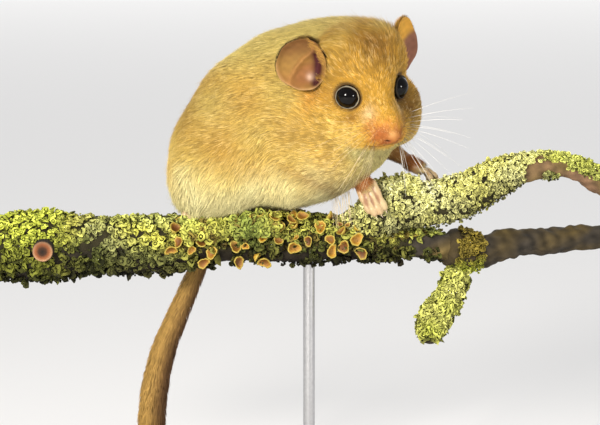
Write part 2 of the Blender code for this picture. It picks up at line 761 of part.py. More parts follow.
def branch():
    """The stem with its cut snag, the upper and lower limbs past the fork, and the hanging stub."""
    main = swept("perch_stem", smooth_run(STEM_RUN, 28), 10, LUMP, 1.0)
    snag = swept("perch_snag", smooth_run(SNAG_RUN, 4), 10)
    stem = joined("perch_stem", [main, snag])
    stem_space = grown(stem, "stem_space", GAP)
    upper = swept("perch_upper", smooth_run(UPPER_RUN, 20), 10, LUMP, 2.0)
    upper = boolean(upper, stem_space, "DIFFERENCE", keep=True)
    lower_run = smooth_run(LOWER_RUN, 13)
    step = lower_run[1] - lower_run[0]
    lower_run[0] += step * (GAP / MM) / np.linalg.norm(step[:3])
    lower = swept("perch_lower", lower_run, 8, LUMP, 3.0)
    lower = boolean(lower, stem_space, "DIFFERENCE", keep=True)
    lower_space = grown(lower, "lower_space", FORK_GAP)
    stub = swept("perch_stub", smooth_run(STUB_RUN, 8), 8, LUMP, 4.0, round_end=True)
    stub = boolean(stub, stem_space, "DIFFERENCE", keep=True)
    stub = boolean(stub, lower_space, "DIFFERENCE")
    return stem, upper, lower, stub, stem_space


def cylinder(name, radius, low, high, x, sides=20):
    bm = bmesh.new()
    place = Matrix.Translation((x, 0, (low + high) / 2))
    bmesh.ops.create_cone(bm, cap_ends=True, segments=sides, radius1=radius, radius2=radius,
                          depth=high - low, matrix=place)
    return new_object(name, bm)


def stand(stem):
    bm = bmesh.new()
    outline = []
    for corner_x, corner_y, start in ((1, 1, 0), (-1, 1, 90), (-1, -1, 180), (1, -1, 270)):
        centre_x = corner_x * (BASE_LENGTH / 2 - BASE_CORNER)
        centre_y = corner_y * (BASE_DEPTH / 2 - BASE_CORNER)
        for turn in np.radians(np.linspace(start, start + 90, 7)):
            outline.append(bm.verts.new((centre_x + BASE_CORNER * math.cos(turn),
                                         centre_y + BASE_CORNER * math.sin(turn), 0)))
    foot = bm.faces.new(outline)
    raised = bmesh.ops.extrude_face_region(bm, geom=[foot])
    top = [item for item in raised["geom"] if isinstance(item, bmesh.types.BMVert)]
    bmesh.ops.translate(bm, verts=top, vec=(0, 0, BASE_THICKNESS))
    top_edges = [edge for edge in bm.edges if all(vert in top for vert in edge.verts)]
    bmesh.ops.bevel(bm, geom=top_edges, offset=BASE_BEVEL, segments=2, affect="EDGES", profile=0.5)
    bmesh.ops.recalc_face_normals(bm, faces=bm.faces)
    base = new_object("stand_base", bm)
    stem_height = PERCH_HEIGHT - underside_drop(stem, ROD_X)
    socket_top = stem_height + SOCKET_DEPTH
    socket = cylinder("rod_socket", ROD_RADIUS + GAP, stem_height - 6 * MM, socket_top, ROD_X)
    boolean(stem, socket, "DIFFERENCE")
    rod = cylinder("stand_rod", ROD_RADIUS, BASE_THICKNESS + GAP, socket_top - GAP, ROD_X)
    return base, rod


def underside_drop(obj, x):
    """How far the object's underside lies under the branch's axis, at one x."""
    hit, place, _, _ = obj.ray_cast(Vector((x, 0, 0)), Vector((0, 0, 1)))
    return PERCH_HEIGHT - place.z if hit else 6 * MM


def build():
    clear_scene()
    stem, upper, lower, stub, stem_space = branch()
    upper_space = grown(upper, "upper_space", GAP)

    trunk_mesh = flesh("torso", TRUNK_VOXEL, TRUNK_TRIANGLES)
    head_mesh = flesh("head", HEAD_VOXEL, HEAD_TRIANGLES)
    body_space = grown(head_mesh, "body_space", GAP)
    trunk_mesh = boolean(trunk_mesh, stem_space, "DIFFERENCE", keep=True)
    trunk_mesh = boolean(trunk_mesh, upper_space, "DIFFERENCE", keep=True)

    head_obj = head(head_mesh)
    neck = copied(trunk_mesh, "neck")
    neck = boolean(neck, head_ball("neck_ball", NECK_BALL[0], NECK_BALL[1] * MM), "INTERSECT")
    neck = boolean(neck, head_ball("head_ball", HEAD_BALL[0], HEAD_BALL[1] * MM + GAP), "DIFFERENCE")
    torso = boolean(trunk_mesh, head_ball("neck_ball", NECK_BALL[0], NECK_BALL[1] * MM + GAP), "DIFFERENCE")
    torso = boolean(torso, head_ball("head_ball", HEAD_BALL[0], HEAD_BALL[1] * MM + GAP), "DIFFERENCE")
    legs = []
    for name, cut in THIGHS.items():
        leg, torso = parted(torso, name, *cut)
        legs.append(leg)
    forelegs = []
    for name in SHOULDERS:
        leg, torso = foreleg(torso, name, (stem_space, upper_space))
        forelegs.append(leg)
    foreleg_spaces = [grown(leg, leg.name + "_space", GAP) for leg in forelegs]
    for space in foreleg_spaces:
        neck = boolean(neck, space, "DIFFERENCE", keep=True, least=0.5)
    hands = [paw(name, plan, (space, body_space, stem_space, upper_space))
             for (name, plan), space in zip(HANDS.items(), foreleg_spaces)]
    feet = [paw(name, plan, (body_space, stem_space)) for name, plan in FEET.items()]
    ears = [ear(name, body_space) for name in EARS]
    eyes = [eye(side, name) for side, name in ((1, "eye_right"), (-1, "eye_left"))]
    tail_parts = tail(body_space)
    base, rod = stand(stem)
    for space in (stem_space, upper_space, body_space, *foreleg_spaces):
        removed(space)

    for obj in (torso, neck, head_obj, *legs, *forelegs, *tail_parts):
        finish(obj, FUR, 0.8)
    for obj in (*hands, *feet, *ears):
        finish(obj, SKIN, 0.55)
    for obj in eyes:
        finish(obj, EYE_BLACK, 0.05)
    for obj in (stem, upper, stub):
        finish(obj, LICHEN, 0.9)
    finish(lower, BARK, 0.9)
    finish(base, WALNUT, 0.35)
    finish(rod, STEEL, 0.3, 1.0)


build()
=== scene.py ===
"""The looks of a hazel dormouse on a lichened branch, as a life-size museum model.

Metres, +Z up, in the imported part's frame: +X runs along the branch to the animal's
head end, -Y is the side it is looked at from, and the floor is at height 0.
Places on the animal are given in millimetres from the branch's axis under it, and
places on the head from the middle between the eyes: forward, to the animal's right, up.
"""

import math

import bmesh
import bpy
import numpy as np
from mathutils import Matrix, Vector
from mathutils.kdtree import KDTree


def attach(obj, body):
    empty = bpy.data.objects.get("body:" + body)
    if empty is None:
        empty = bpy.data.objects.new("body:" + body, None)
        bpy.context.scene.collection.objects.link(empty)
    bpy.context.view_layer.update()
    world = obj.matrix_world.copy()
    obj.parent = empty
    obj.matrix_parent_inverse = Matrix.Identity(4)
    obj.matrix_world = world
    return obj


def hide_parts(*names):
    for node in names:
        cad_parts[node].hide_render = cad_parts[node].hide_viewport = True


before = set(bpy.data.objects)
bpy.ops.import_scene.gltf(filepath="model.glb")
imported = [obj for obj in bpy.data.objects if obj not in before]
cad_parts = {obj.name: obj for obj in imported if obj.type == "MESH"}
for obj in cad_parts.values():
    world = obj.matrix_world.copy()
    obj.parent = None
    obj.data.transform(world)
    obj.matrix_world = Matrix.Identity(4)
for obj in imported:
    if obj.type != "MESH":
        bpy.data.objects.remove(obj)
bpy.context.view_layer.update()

MM = 0.001
PERCH_HEIGHT = 66 * MM
BRANCH_AT = np.array((0, 0, PERCH_HEIGHT))
RNG = np.random.default_rng(7)
FULL_TURN = 2 * math.pi

# Head: the middle between the eyes, and how the head is turned from the branch's line
HEAD_AT = (15.7, -10.0, 33.9)
HEAD_YAW = 62
HEAD_PITCH = 24
HEAD_ROLL = 7

# Trunk masses out to the coat's tips: centre, radii, yaw, pitch
TRUNK = {
    "rump": ((-16.0, 4.5, 18.8), (13.0, 12.3, 12.3), 5, 0),
    "loin": ((-9.0, 4.0, 24.8), (14.7, 13.8, 16.5), 12, -25),
    "ribs": ((-1.2, 4.8, 30.4), (14.0, 12.0, 16.4), 20, -25),
    "shoulders": ((4.5, 5.4, 33.0), (12.0, 9.6, 12.8), 28, -20),
    "belly": ((-6.0, 2.5, 16.7), (16.0, 11.0, 9.3), 10, -4),
    "chest": ((8.0, -2.0, 22.5), (9.5, 8.5, 9.0), 35, 0),
    "throat": ((13.0, -6.5, 22.0), (6.5, 6.0, 5.5), 50, 30),
    "thigh_right": ((-17.5, -3.5, 15.5), (10.5, 7.8, 8.4), 6, -5),
    "thigh_left": ((-15.0, 12.5, 15.5), (10.5, 7.8, 8.4), 6, -5),
    "upper_arm_right": ((4.0, -7.6, 18.0), (9.0, 4.6, 5.4), 20, 20),
    "upper_arm_left": ((9.5, 7.0, 23.0), (8.0, 4.6, 6.0), 25, 25),
    "scruff": ((6.2, 1.5, 40.7), (9.6, 7.8, 7.8), 0, 0),
    "hip": ((-19.4, -1.0, 12.6), (8.1, 8.0, 6.4), 0, 0),
    "elbow": ((1.0, -6.2, 14.0), (8.2, 4.8, 5.1), 12, -10),
}
TRUNK_BLEND = 5.0 * MM

# Head masses: centre and radii as forward, side, up, mirrored where the side isn't 0
SKULL = {
    "cranium": ((-6.2, 0, 1.5), (10.2, 9.4, 9.0)),
    "temple": ((-7.2, 3.8, 4.6), (7.4, 6.2, 7.0)),
    "nape": ((-11.5, 0, 2.3), (8.5, 8.0, 7.8)),
    "cheek": ((-2.6, 6.7, -5.4), (6.8, 5.9, 5.9)),
    "forehead": ((-0.8, 0, 1.2), (5.2, 4.4, 5.2)),
    "bridge": ((3.4, 0, -2.2), (5.2, 3.0, 3.6)),
    "snout_side": ((2.8, 4.1, -6.6), (4.6, 3.8, 3.6)),
    "muzzle": ((4.2, 0, -4.7), (7.0, 3.8, 3.9)),
    "jowl": ((-0.2, 6.2, -9.0), (5.6, 5.3, 4.9)),
    "under_jaw": ((-3.0, 0, -8.4), (7.0, 6.0, 5.0)),
}
SKULL_BLEND = 3.0 * MM
FACE = {
    "lip": ((6.8, 2.1, -6.8), (3.0, 2.4, 2.2)),
    "nose": ((10.0, 0, -5.4), (1.45, 1.5, 1.3)),
    "chin": ((4.2, 0, -9.3), (4.0, 2.6, 1.8)),
}
FACE_BLEND = 1.9 * MM
NECK_BLEND = 4.0 * MM

# Eyes
EYES_AT = {1: (0.1, 6.0, -0.2), -1: (0.3, 5.45, 0.2)}
EYE_LOOK = (0.76, 0.60, 0.24)
EYE_RADIUS = 2.62 * MM
HOLLOW_RADIUS = 3.8 * MM
HOLLOW_OUT = 4.1 * MM
HOLLOW_BLEND = 2.4 * MM
LID_ANGLE = math.radians(63)
LID_RADIUS = 0.20 * MM

# Nose and mouth, in millimetres in head axes
NOSE_AT = np.array((11.2, 0, -5.6))
NOSTRIL_AT = (11.0, 1.2, -6.2)
NOSTRIL_RADII = (0.9, 0.42, 0.34)
NOSTRIL_DEPTH = 0.8
MOUTH_AT = (3.6, 0, -8.5)
MOUTH_HALF_ANGLE = math.radians(52)
MOUTH_DROOP = 0.12
MOUTH_WIDTH = 0.24
MOUTH_DEPTH = 0.32

# Limbs: runs of centre points and radius, in millimetres, out to the coat's tips
FOREARMS = {
    "right": ((5.5, -7.0, 19.0, 3.2), (9.2, -7.2, 17.2, 2.8), (12.6, -7.7, 14.9, 2.1)),
    "left": ((12.0, 7.6, 23.6, 3.4), (18.5, 4.8, 20.3, 2.6), (23.6, 3.0, 17.2, 1.75)),
}
FOREARM_COAT = 0.45

# Hands and feet: the palm's run, tips of the digits, the way these spread, the gap between them in
# millimetres, and their radius
PAWS = {
    "hand_right": {
        "palm": ((11.9, -7.6, 15.8, 1.5), (12.6, -7.8, 14.9, 1.7), (13.7, -7.8, 13.6, 1.8),
                 (14.4, -7.5, 12.7, 1.5)),
        "tips": ((15.0, -7.9, 7.6), (16.1, -8.1, 7.1), (17.3, -7.9, 7.4), (18.3, -7.4, 8.3)),
        "spread": (0.95, 0.1, 0.5),
        "gap": 1.0,
        "digit": 0.84,
    },
    "hand_left": {
        "palm": ((23.0, 3.2, 17.6, 1.4), (23.9, 2.9, 17.0, 1.5), (25.6, 2.4, 15.9, 1.6),
                 (26.8, 2.0, 15.2, 1.3)),
        "tips": ((28.7, -0.9, 13.8), (29.8, 0.5, 14.0), (29.7, 2.2, 13.4), (28.7, 3.9, 12.1)),
        "spread": (0.5, 1.0, -0.15),
        "gap": 0.7,
        "digit": 0.62,
    },
    "hindfoot_right": {
        "palm": ((-25.2, -4.6, 6.4, 1.0), (-22.6, -4.3, 5.2, 1.1), (-18.4, -4.4, 4.7, 1.2)),
        "tips": ((-17.2, -5.6, 3.2), (-15.8, -5.5, 3.6), (-14.4, -5.2, 4.1), (-13.2, -4.8, 4.7),
                 (-12.9, -4.0, 5.4)),
        "spread": (0.9, 0.3, 0.6),
        "gap": 0.62,
        "digit": 0.58,
    },
    "hindfoot_left": {
        "palm": ((-14.6, 6.2, 7.0, 1.6), (-10.5, 7.0, 5.9, 1.6), (-5.4, 7.5, 5.2, 1.6)),
        "tips": ((-4.2, 8.9, 0.9), (-2.4, 8.9, 1.2), (-0.6, 8.8, 1.8), (0.8, 8.4, 3.0),
                 (1.0, 7.2, 4.8)),
        "spread": (1.1, -0.3, 0.75),
        "gap": 0.62,
        "digit": 0.58,
    },
}
DIGIT_TIP = 0.85
FINGER_ARCH = 0.7
PAW_VOXEL = 0.17 * MM
BODY_VOXEL = 0.55 * MM
CLAW_LENGTH = 1.1
CLAW_RADIUS = 0.26
CLAW_TIP = 0.03
HAND_TUFTS = 2600
FOOT_TUFTS = 700

# Tail: centre line and radius out to its fringe
TAIL_RUN = ((-17.5, 9.5, 9.0, 3.6), (-20.0, 11.5, 0.0, 2.9), (-22.6, 11.5, -7.2, 2.8),
            (-26.9, 11.0, -17.3, 3.1), (-30.6, 10.5, -26.4, 3.4), (-32.6, 10.0, -34.6, 3.6),
            (-33.5, 9.5, -43.1, 3.5), (-33.6, 9.0, -51.5, 2.8), (-33.2, 8.6, -57.2, 1.2))
TAIL_FRINGE = 1.1
TAIL_TUFTS = 15000
TAIL_STATIONS = 120

# Branch: centre lines and radius out to the lichen's tips
STEM_RUN = ((-71, -1, -1.5, 8.0), (-56, -1, -1.5, 8.6), (-46, 0, -1.2, 7.6), (-34, 0, -1.0, 7.4),
            (-22, 0, -0.6, 6.8), (-8, 0, 0.4, 6.6), (4, 0, 0.4, 6.6), (14, 1, 0.0, 6.0),
            (24, 2.5, -1.2, 4.8), (34, 5, -2.6, 4.6))
LOWER_RUN = ((34, 5, -2.6, 4.5), (40, 7, -3.6, 3.9), (47, 9, -2.2, 3.4), (56, 12, -2.0, 3.1),
             (71, 16, -1.4, 2.9))
UPPER_RUN = ((12, 0, 2.0, 5.0), (20, -1, 7.2, 6.0), (28, -1.5, 7.6, 5.6), (36, -2, 10.2, 5.6),
             (42, -2, 13.4, 5.2), (48, -1, 15.6, 4.0), (54, 1, 16.2, 3.4), (60, 3, 15.6, 2.8),
             (66, 5, 12.6, 3.4), (71, 6.5, 9.6, 3.4))
STUB_RUN = ((36, 5.5, -4.0, 3.2), (34, 5, -12.0, 4.0), (29.5, 4.5, -20.0, 4.4),
            (28.6, 4.4, -23.0, 3.4))
SNAG_RUN = ((-55.7, -2.0, -1.2, 2.7), (-55.7, -9.0, -1.0, 2.7), (-55.7, -11.2, -0.9, 2.5))
LIMB_BLEND = 3 * MM

# Ears: side, where the blade leaves the head, how it leans, which way its cup faces, and in
# millimetres half its width and half its length
EARS = {
    "right": (1, (-5.2, 10.7, 0.1), (-0.72, 0.36, 0.60), (0.9, 0.4, 0.1), 5.4, 5.6),
    "left": (-1, (-6.4, 9.2, -0.8), (-0.59, 0.41, 0.70), (0.87, 0.49, 0.02), 5.1, 6.4),
}
EAR_BOWL_RADIUS = 2.75 * MM
EAR_THICKNESS = 0.34 * MM
EAR_CUP = 1.3 * MM
EAR_TUFTS = 8200
EAR_INNER_TUFTS = 1400
EAR_RIM_CURL = 1.3 * MM


def srgb(red, green, blue):
    """A colour given as it looks on a screen, 0 to 255, in the linear values that shaders use."""
    share = np.array((red, green, blue)) / 255
    return np.where(share <= 0.04045, share / 12.92, ((share + 0.055) / 1.055) ** 2.4)


# Coat colours
GOLD = srgb(228, 194, 100)
DEEP_GOLD = srgb(218, 174, 80)
CREAM = srgb(255, 245, 178)
PALE_BACK = srgb(226, 204, 116)
HEAD_GOLD = srgb(186, 140, 46)
HEAD_BRIGHT = srgb(228, 172, 62)
CHEEK = srgb(228, 180, 74)
BROWN = srgb(148, 98, 34)
OLIVE = srgb(128, 112, 58)
THROAT = srgb(190, 182, 120)
ORANGE = srgb(236, 164, 66)
PALE_SPOT = srgb(238, 204, 150)
MUZZLE = srgb(170, 92, 42)
MUZZLE_TOP = srgb(206, 132, 58)
NOSE = srgb(176, 110, 54)
# A painted highlight for the top of the nose
NOSE_HIGHLIGHT = srgb(228, 178, 104)
NOSTRIL = srgb(110, 30, 24)
PAD_CREAM = srgb(246, 216, 136)
DARK_EDGE = srgb(70, 50, 34)
UNDERFUR = srgb(150, 128, 80)
HAIR_DARK = srgb(112, 84, 36)
HAIR_LIGHT = srgb(255, 236, 176)
FOREARM = srgb(176, 108, 54)
TAIL_GOLD = srgb(188, 148, 78)
TAIL_SHADE_BROWN = srgb(98, 68, 44)

# Bare skin colours
EAR_FLANGE = srgb(146, 109, 52)
EAR_TOP = srgb(108, 72, 34)
EAR_RIDGE = srgb(160, 112, 60)
EAR_CONCHA = srgb(146, 96, 56)
EAR_HOLE = srgb(66, 18, 28)
EAR_LOBE = srgb(214, 178, 152)
EAR_MAUVE = srgb(132, 86, 78)
EAR_EDGE = srgb(186, 146, 96)
EAR_GOLD = srgb(196, 148, 70)
PAW_CREAM = srgb(200, 182, 136)
PAW_PINK = srgb(186, 144, 104)
PAW_SHADE = srgb(170, 98, 66)
LID_PALE = srgb(164, 156, 132)
LID_DARK = srgb(18, 13, 12)
CLAW = srgb(236, 214, 190)

# Lichen and bark colours
LICHEN_YELLOW = srgb(238, 232, 88)
LICHEN_GREEN = srgb(196, 208, 84)
LICHEN_LIME = srgb(204, 214, 50)
LICHEN_PALE = srgb(252, 250, 180)
LICHEN_LEMON = srgb(244, 240, 132)
LICHEN_GREY = srgb(222, 224, 150)
LICHEN_SHADE = srgb(44, 40, 20)
LICHEN_MOSS = srgb(176, 152, 44)
CUP_OCHRE = srgb(186, 132, 28)
CUP_BROWN = srgb(124, 72, 20)
CUP_RIM = srgb(192, 172, 72)
BARK_DARK = srgb(34, 28, 22)
BARK_GREY = srgb(58, 52, 44)
BARK_PURPLE = srgb(122, 94, 70)
BARK_OLIVE = srgb(112, 94, 54)
BROKEN_WOOD = srgb(214, 180, 140)
SNAG_RING = srgb(140, 84, 50)

# Eye, wood, steel and floor, in the linear values that shaders use
EYE_BLACK = (0.0010, 0.0008, 0.0008)
EYE_BROWN = (0.0030, 0.0022, 0.0020)
WALNUT_DARK = srgb(58, 36, 22)
WALNUT_LIGHT = srgb(124, 82, 52)
WALNUT_STRETCH = (6, 70, 70)
STEEL_DARK = (0.42, 0.42, 0.43)
STEEL_LIGHT = (0.62, 0.62, 0.63)
FLOOR_TONE = (0.84, 0.83, 0.81)
RELIEF_DEPTH = 0.1 * MM


# Places and directions

def mm(*values):
    return np.array(values, float) * MM


def seat(*values):
    """A place given from the branch's axis under the animal."""
    return mm(*values) + BRANCH_AT


def from_branch(points):
    """How far places lie along the branch, behind its axis and above it, in millimetres."""
    return ((points - BRANCH_AT) / MM).T


def size_of(vectors):
    return np.linalg.norm(vectors, axis=-1)


def unit(vectors):
    return vectors / np.maximum(np.linalg.norm(vectors, axis=-1, keepdims=True), 1e-12)


def laid_flat(ways, normals):
    """Directions without the part that points off the surface."""
    return unit(ways - normals * (ways * normals).sum(axis=1, keepdims=True))


def smooth(value, low, high):
    """0 below low, 1 above high, with a soft step between."""
    share = np.clip((value - low) / (high - low), 0, 1)
    return share * share * (3 - 2 * share)


def fade(value, low, high):
    """1 below low, 0 above high."""
    return 1 - smooth(value, low, high)


def mixed(one, other, share):
    """Colours between one and the other, by a share for each place or for all."""
    return one + (other - one) * np.asarray(share)[..., None]


def turned(yaw=0, pitch=0, roll=0):
    """Axes as columns: forward, the animal's right side, up. Yaw turns to -Y, pitch lowers the front."""
    yaw, pitch, roll = (math.radians(angle) for angle in (yaw, pitch, roll))
    forward = np.array([math.cos(yaw) * math.cos(pitch), -math.sin(yaw) * math.cos(pitch), -math.sin(pitch)])
    side = np.array([-math.sin(yaw), -math.cos(yaw), 0.0])
    up = np.cross(side, forward)
    rolled_side = side * math.cos(roll) - up * math.sin(roll)
    rolled_up = up * math.cos(roll) + side * math.sin(roll)
    return np.stack([forward, rolled_side, rolled_up], axis=1)


HEAD_AXES = turned(HEAD_YAW, HEAD_PITCH, HEAD_ROLL)
HEAD_ORIGIN = seat(*HEAD_AT)


def on_head(forward, side, up):
    return HEAD_ORIGIN + HEAD_AXES @ mm(forward, side, up)


def in_head(points):
    """Places in the head's axes, in millimetres."""
    return (points - HEAD_ORIGIN) @ HEAD_AXES / MM


def head_direction(direction, side=1):
    """A direction in the head's axes, mirrored for the left side, in world axes."""
    return unit(HEAD_AXES @ (np.array(direction, float) * (1, side, 1)))


def eye_place(side):
    forward, out, up = EYES_AT[side]
    return on_head(forward, out * side, up)


def wander(points, size, seed, waves=7):
    """A smooth random field from about -1 to 1, with features of about the size given in millimetres."""
    rng = np.random.default_rng(seed)
    ways = unit(rng.normal(size=(waves, 3))) * rng.uniform(0.7, 1.6, (waves, 1)) * math.pi / (size * MM)
    phases = rng.uniform(0, FULL_TURN, waves)
    return np.sin(points @ ways.T + phases).sum(axis=1) / math.sqrt(waves) * 0.9


def drift(points, size, seed):
    """A smooth random field of directions."""
    return np.stack([wander(points, size, seed + step) for step in range(3)], axis=1)


def from_nose(points):
    """Distance from the nose in millimetres."""
    return size_of(in_head(points) - NOSE_AT)


def ear_place(name):
    side, (forward, out, up) = EARS[name][:2]
    return on_head(forward, out * side, up)


def ear_frame(name):
    side, _, lean, face, half_width, half_length = EARS[name]
    lean = head_direction(lean, side)
    face = head_direction(face, side)
    face = unit(face - lean * (face @ lean))
    outward = np.cross(lean, face)
    if outward @ head_direction((0, 1, 0), side) < 0:
        outward = -outward
    return outward, lean, face, half_width * MM, half_length * MM


def ear_bowl(name):
    """The middle of the hollow in front of the ear's opening."""
    outward, lean, face, half_width, half_length = ear_frame(name)
    return ear_place(name) - outward * half_width * 0.45 + lean * half_length * 0.68 + face * 0.4 * MM


def ear_front(name):
    """The middle of the ear's edge next to the crown, where the head's hair leans over it."""
    outward, lean, _, half_width, half_length = ear_frame(name)
    return ear_place(name) - outward * half_width + lean * half_length * 1.15


EAR_BOWLS = [ear_bowl(name) for name in EARS]
EAR_FRONTS = [ear_front(name) for name in EARS]


def past_hollow(points):
    """How far places on the skin lie outside the hollow at the nearer ear, or past the ear's inner edge."""
    past = np.full(len(points), 1.0)
    for name, place in zip(EARS, EAR_BOWLS):
        outward, _, _, half_width, _ = ear_frame(name)
        off = size_of(points - place) - EAR_BOWL_RADIUS - coat_depth(points)
        beyond = -0.88 * half_width - (points - ear_place(name)) @ outward
        past = np.minimum(past, np.maximum(off, beyond))
    return past


# The flesh as one smooth form: signed distances melted together

def blend(one, other, width):
    """The nearer of two distances, rounded where they cross."""
    near = np.maximum(width - np.abs(one - other), 0) / width
    return np.minimum(one, other) - near * near * width / 4


def ellipsoid_distance(points, centre, radii, axes):
    local = (points - centre) @ axes
    scaled = size_of(local / radii)
    slope = size_of(local / radii ** 2)
    return scaled * (scaled - 1) / np.maximum(slope, 1e-12)


def mirrored_masses(masses):
    for (forward, side, up), radii in masses.values():
        for sign in ((1, -1) if side else (1,)):
            yield on_head(forward, side * sign, up), mm(*radii)


def run_distance(points, run, width=1.0 * MM, shrink=0.0):
    """Distance to a chain of tapering rounded rods."""
    value = None
    for start, end in zip(run, run[1:]):
        low, high = seat(*start[:3]), seat(*end[:3])
        along = high - low
        share = np.clip((points - low) @ along / (along @ along), 0, 1)
        radius = (start[3] + (end[3] - start[3]) * share - shrink) * MM
        rod = size_of(points - low - share[:, None] * along) - radius
        value = rod if value is None else blend(value, rod, width)
    return value


def coat_distance(points):
    """Distance to the surface that the coat's tips reach, without the limbs."""
    trunk = None
    for centre, radii, yaw, pitch in TRUNK.values():
        mass = ellipsoid_distance(points, seat(*centre), mm(*radii), turned(yaw, pitch))
        trunk = mass if trunk is None else blend(trunk, mass, TRUNK_BLEND)
    skull = None
    for centre, radii in mirrored_masses(SKULL):
        mass = ellipsoid_distance(points, centre, radii, HEAD_AXES)
        skull = mass if skull is None else blend(skull, mass, SKULL_BLEND)
    for centre, radii in mirrored_masses(FACE):
        skull = blend(skull, ellipsoid_distance(points, centre, radii, HEAD_AXES), FACE_BLEND)
    value = blend(trunk, skull, NECK_BLEND)
    for side in (1, -1):
        look = head_direction(EYE_LOOK, side)
        hollow = size_of(points - eye_place(side) - look * HOLLOW_OUT) - HOLLOW_RADIUS
        value = -blend(-value, hollow, HOLLOW_BLEND)
    for place in EAR_BOWLS:
        value = -blend(-value, size_of(points - place) - EAR_BOWL_RADIUS, 1.0 * MM)
    return value


def coat_depth(points):
    """How far the skin lies under the coat's tips: almost nothing on the nose, most on the body."""
    reach = from_nose(points)
    return (0.03 + 0.27 * smooth(reach, 2, 8) + 0.45 * smooth(reach, 11, 26)) * MM


def face_creases(points):
    """How far the skin is drawn in at the nostrils, the groove under the nose and the mouth line."""
    forward, side, up = in_head(points).T
    depth = np.zeros(len(points))
    for sign in (1, -1):
        off = ((forward - NOSTRIL_AT[0]) / NOSTRIL_RADII[0]) ** 2
        off += ((side - NOSTRIL_AT[1] * sign) / NOSTRIL_RADII[1]) ** 2
        off += ((up - NOSTRIL_AT[2]) / NOSTRIL_RADII[2]) ** 2
        depth += NOSTRIL_DEPTH * np.exp(-off)
    under_nose = smooth(forward, 7.5, 9) * smooth(-up, 6.3, 7.0) * fade(-up, 8.6, 9.2)
    depth += 0.3 * np.exp(-(side / 0.22) ** 2) * under_nose
    angle = np.arctan2(side, forward - MOUTH_AT[0])
    reach = np.hypot(side, forward - MOUTH_AT[0])
    share = angle / MOUTH_HALF_ANGLE
    line = MOUTH_AT[2] - MOUTH_DROOP * share ** 2 * reach
    ends = fade(np.abs(share), 0.8, 1.0)
    depth += MOUTH_DEPTH * np.exp(-((up - line) / MOUTH_WIDTH) ** 2) * ends * (forward > MOUTH_AT[0] - 2)
    return depth * MM


def skin_distance(points):
    value = coat_distance(points) + coat_depth(points) + face_creases(points)
    for run in FOREARMS.values():
        value = blend(value, run_distance(points, run, shrink=FOREARM_COAT), 2.0 * MM)
    return value


def perch_distance(points):
    """Distance to the branch where the animal touches it."""
    stem = run_distance(points, STEM_RUN, LIMB_BLEND, shrink=0.9)
    return np.minimum(stem, run_distance(points, UPPER_RUN, LIMB_BLEND, shrink=0.9))


def slope_of(points, distance):
    step = 0.01 * MM
    slope = np.zeros_like(points)
    for axis in range(3):
        nudge = np.zeros(3)
        nudge[axis] = step
        slope[:, axis] = (distance(points + nudge) - distance(points - nudge)) / (2 * step)
    return slope


def settled(points, distance, rounds):
    """Points moved onto the surface where the distance is 0."""
    for _ in range(rounds):
        slope = slope_of(points, distance)
        length = np.maximum((slope ** 2).sum(axis=1), 0.05)
        move = slope * (distance(points) / length)[:, None]
        reach = size_of(move)
        points = points - move * np.minimum(1, 1.0 * MM / np.maximum(reach, 1e-9))[:, None]
    return points


# Mesh helpers

def turns(count):
    """Angles evenly around a full turn."""
    return np.linspace(0, FULL_TURN, count, endpoint=False)


def new_object(name, mesh):
    obj = bpy.data.objects.new(name, mesh)
    bpy.context.scene.collection.objects.link(obj)
    return obj


def object_from_bmesh(name, bm):
    bm.normal_update()
    bmesh.ops.recalc_face_normals(bm, faces=bm.faces)
    mesh = bpy.data.meshes.new(name)
    bm.to_mesh(mesh)
    bm.free()
    return new_object(name, mesh)


def object_from_arrays(name, places, triangles):
    mesh = bpy.data.meshes.new(name)
    mesh.vertices.add(len(places))
    mesh.vertices.foreach_set("co", np.ascontiguousarray(places, np.float32).ravel())
    mesh.loops.add(triangles.size)
    mesh.loops.foreach_set("vertex_index", triangles.astype(np.int32).ravel())
    mesh.polygons.add(len(triangles))
    mesh.polygons.foreach_set("loop_start", np.arange(0, triangles.size, 3, dtype=np.int32))
    mesh.update(calc_edges=True)
    mesh.shade_smooth()
    return new_object(name, mesh)


def applied(obj):
    """The object with its modifiers made part of its mesh."""
    bpy.context.view_layer.update()
    depsgraph = bpy.context.evaluated_depsgraph_get()
    mesh = bpy.data.meshes.new_from_object(obj.evaluated_get(depsgraph))
    obj.modifiers.clear()
    obj.data = mesh
    return obj


def read(rows, attribute, width=3, kind=np.float32):
    """An attribute of a mesh, with one row for each element."""
    values = np.zeros(len(rows) * width, kind)
    rows.foreach_get(attribute, values)
    return values.reshape(-1, width)


def places_of(obj):
    return read(obj.data.vertices, "co").astype(float)


def normals_of(obj):
    return read(obj.data.vertex_normals, "vector").astype(float)


def move_to(obj, places):
    obj.data.vertices.foreach_set("co", np.ascontiguousarray(places, np.float32).ravel())
    obj.data.update()


def faced_outward(obj):
    """The object's faces turned to look out of it, and smooth."""
    bm = bmesh.new()
    bm.from_mesh(obj.data)
    bmesh.ops.recalc_face_normals(bm, faces=bm.faces)
    bm.to_mesh(obj.data)
    bm.free()
    obj.data.shade_smooth()


def triangles_of(obj):
    obj.data.calc_loop_triangles()
    return read(obj.data.loop_triangles, "vertices", kind=np.int32)


def paint(obj, colours):
    """One colour for each vertex or for all of them, read by the material."""
    layer = obj.data.color_attributes.new("tone", "FLOAT_COLOR", "POINT")
    full = np.ones((len(obj.data.vertices), 4), np.float32)
    full[:, :3] = np.clip(colours, 0, 1)
    layer.data.foreach_set("color", full.ravel())


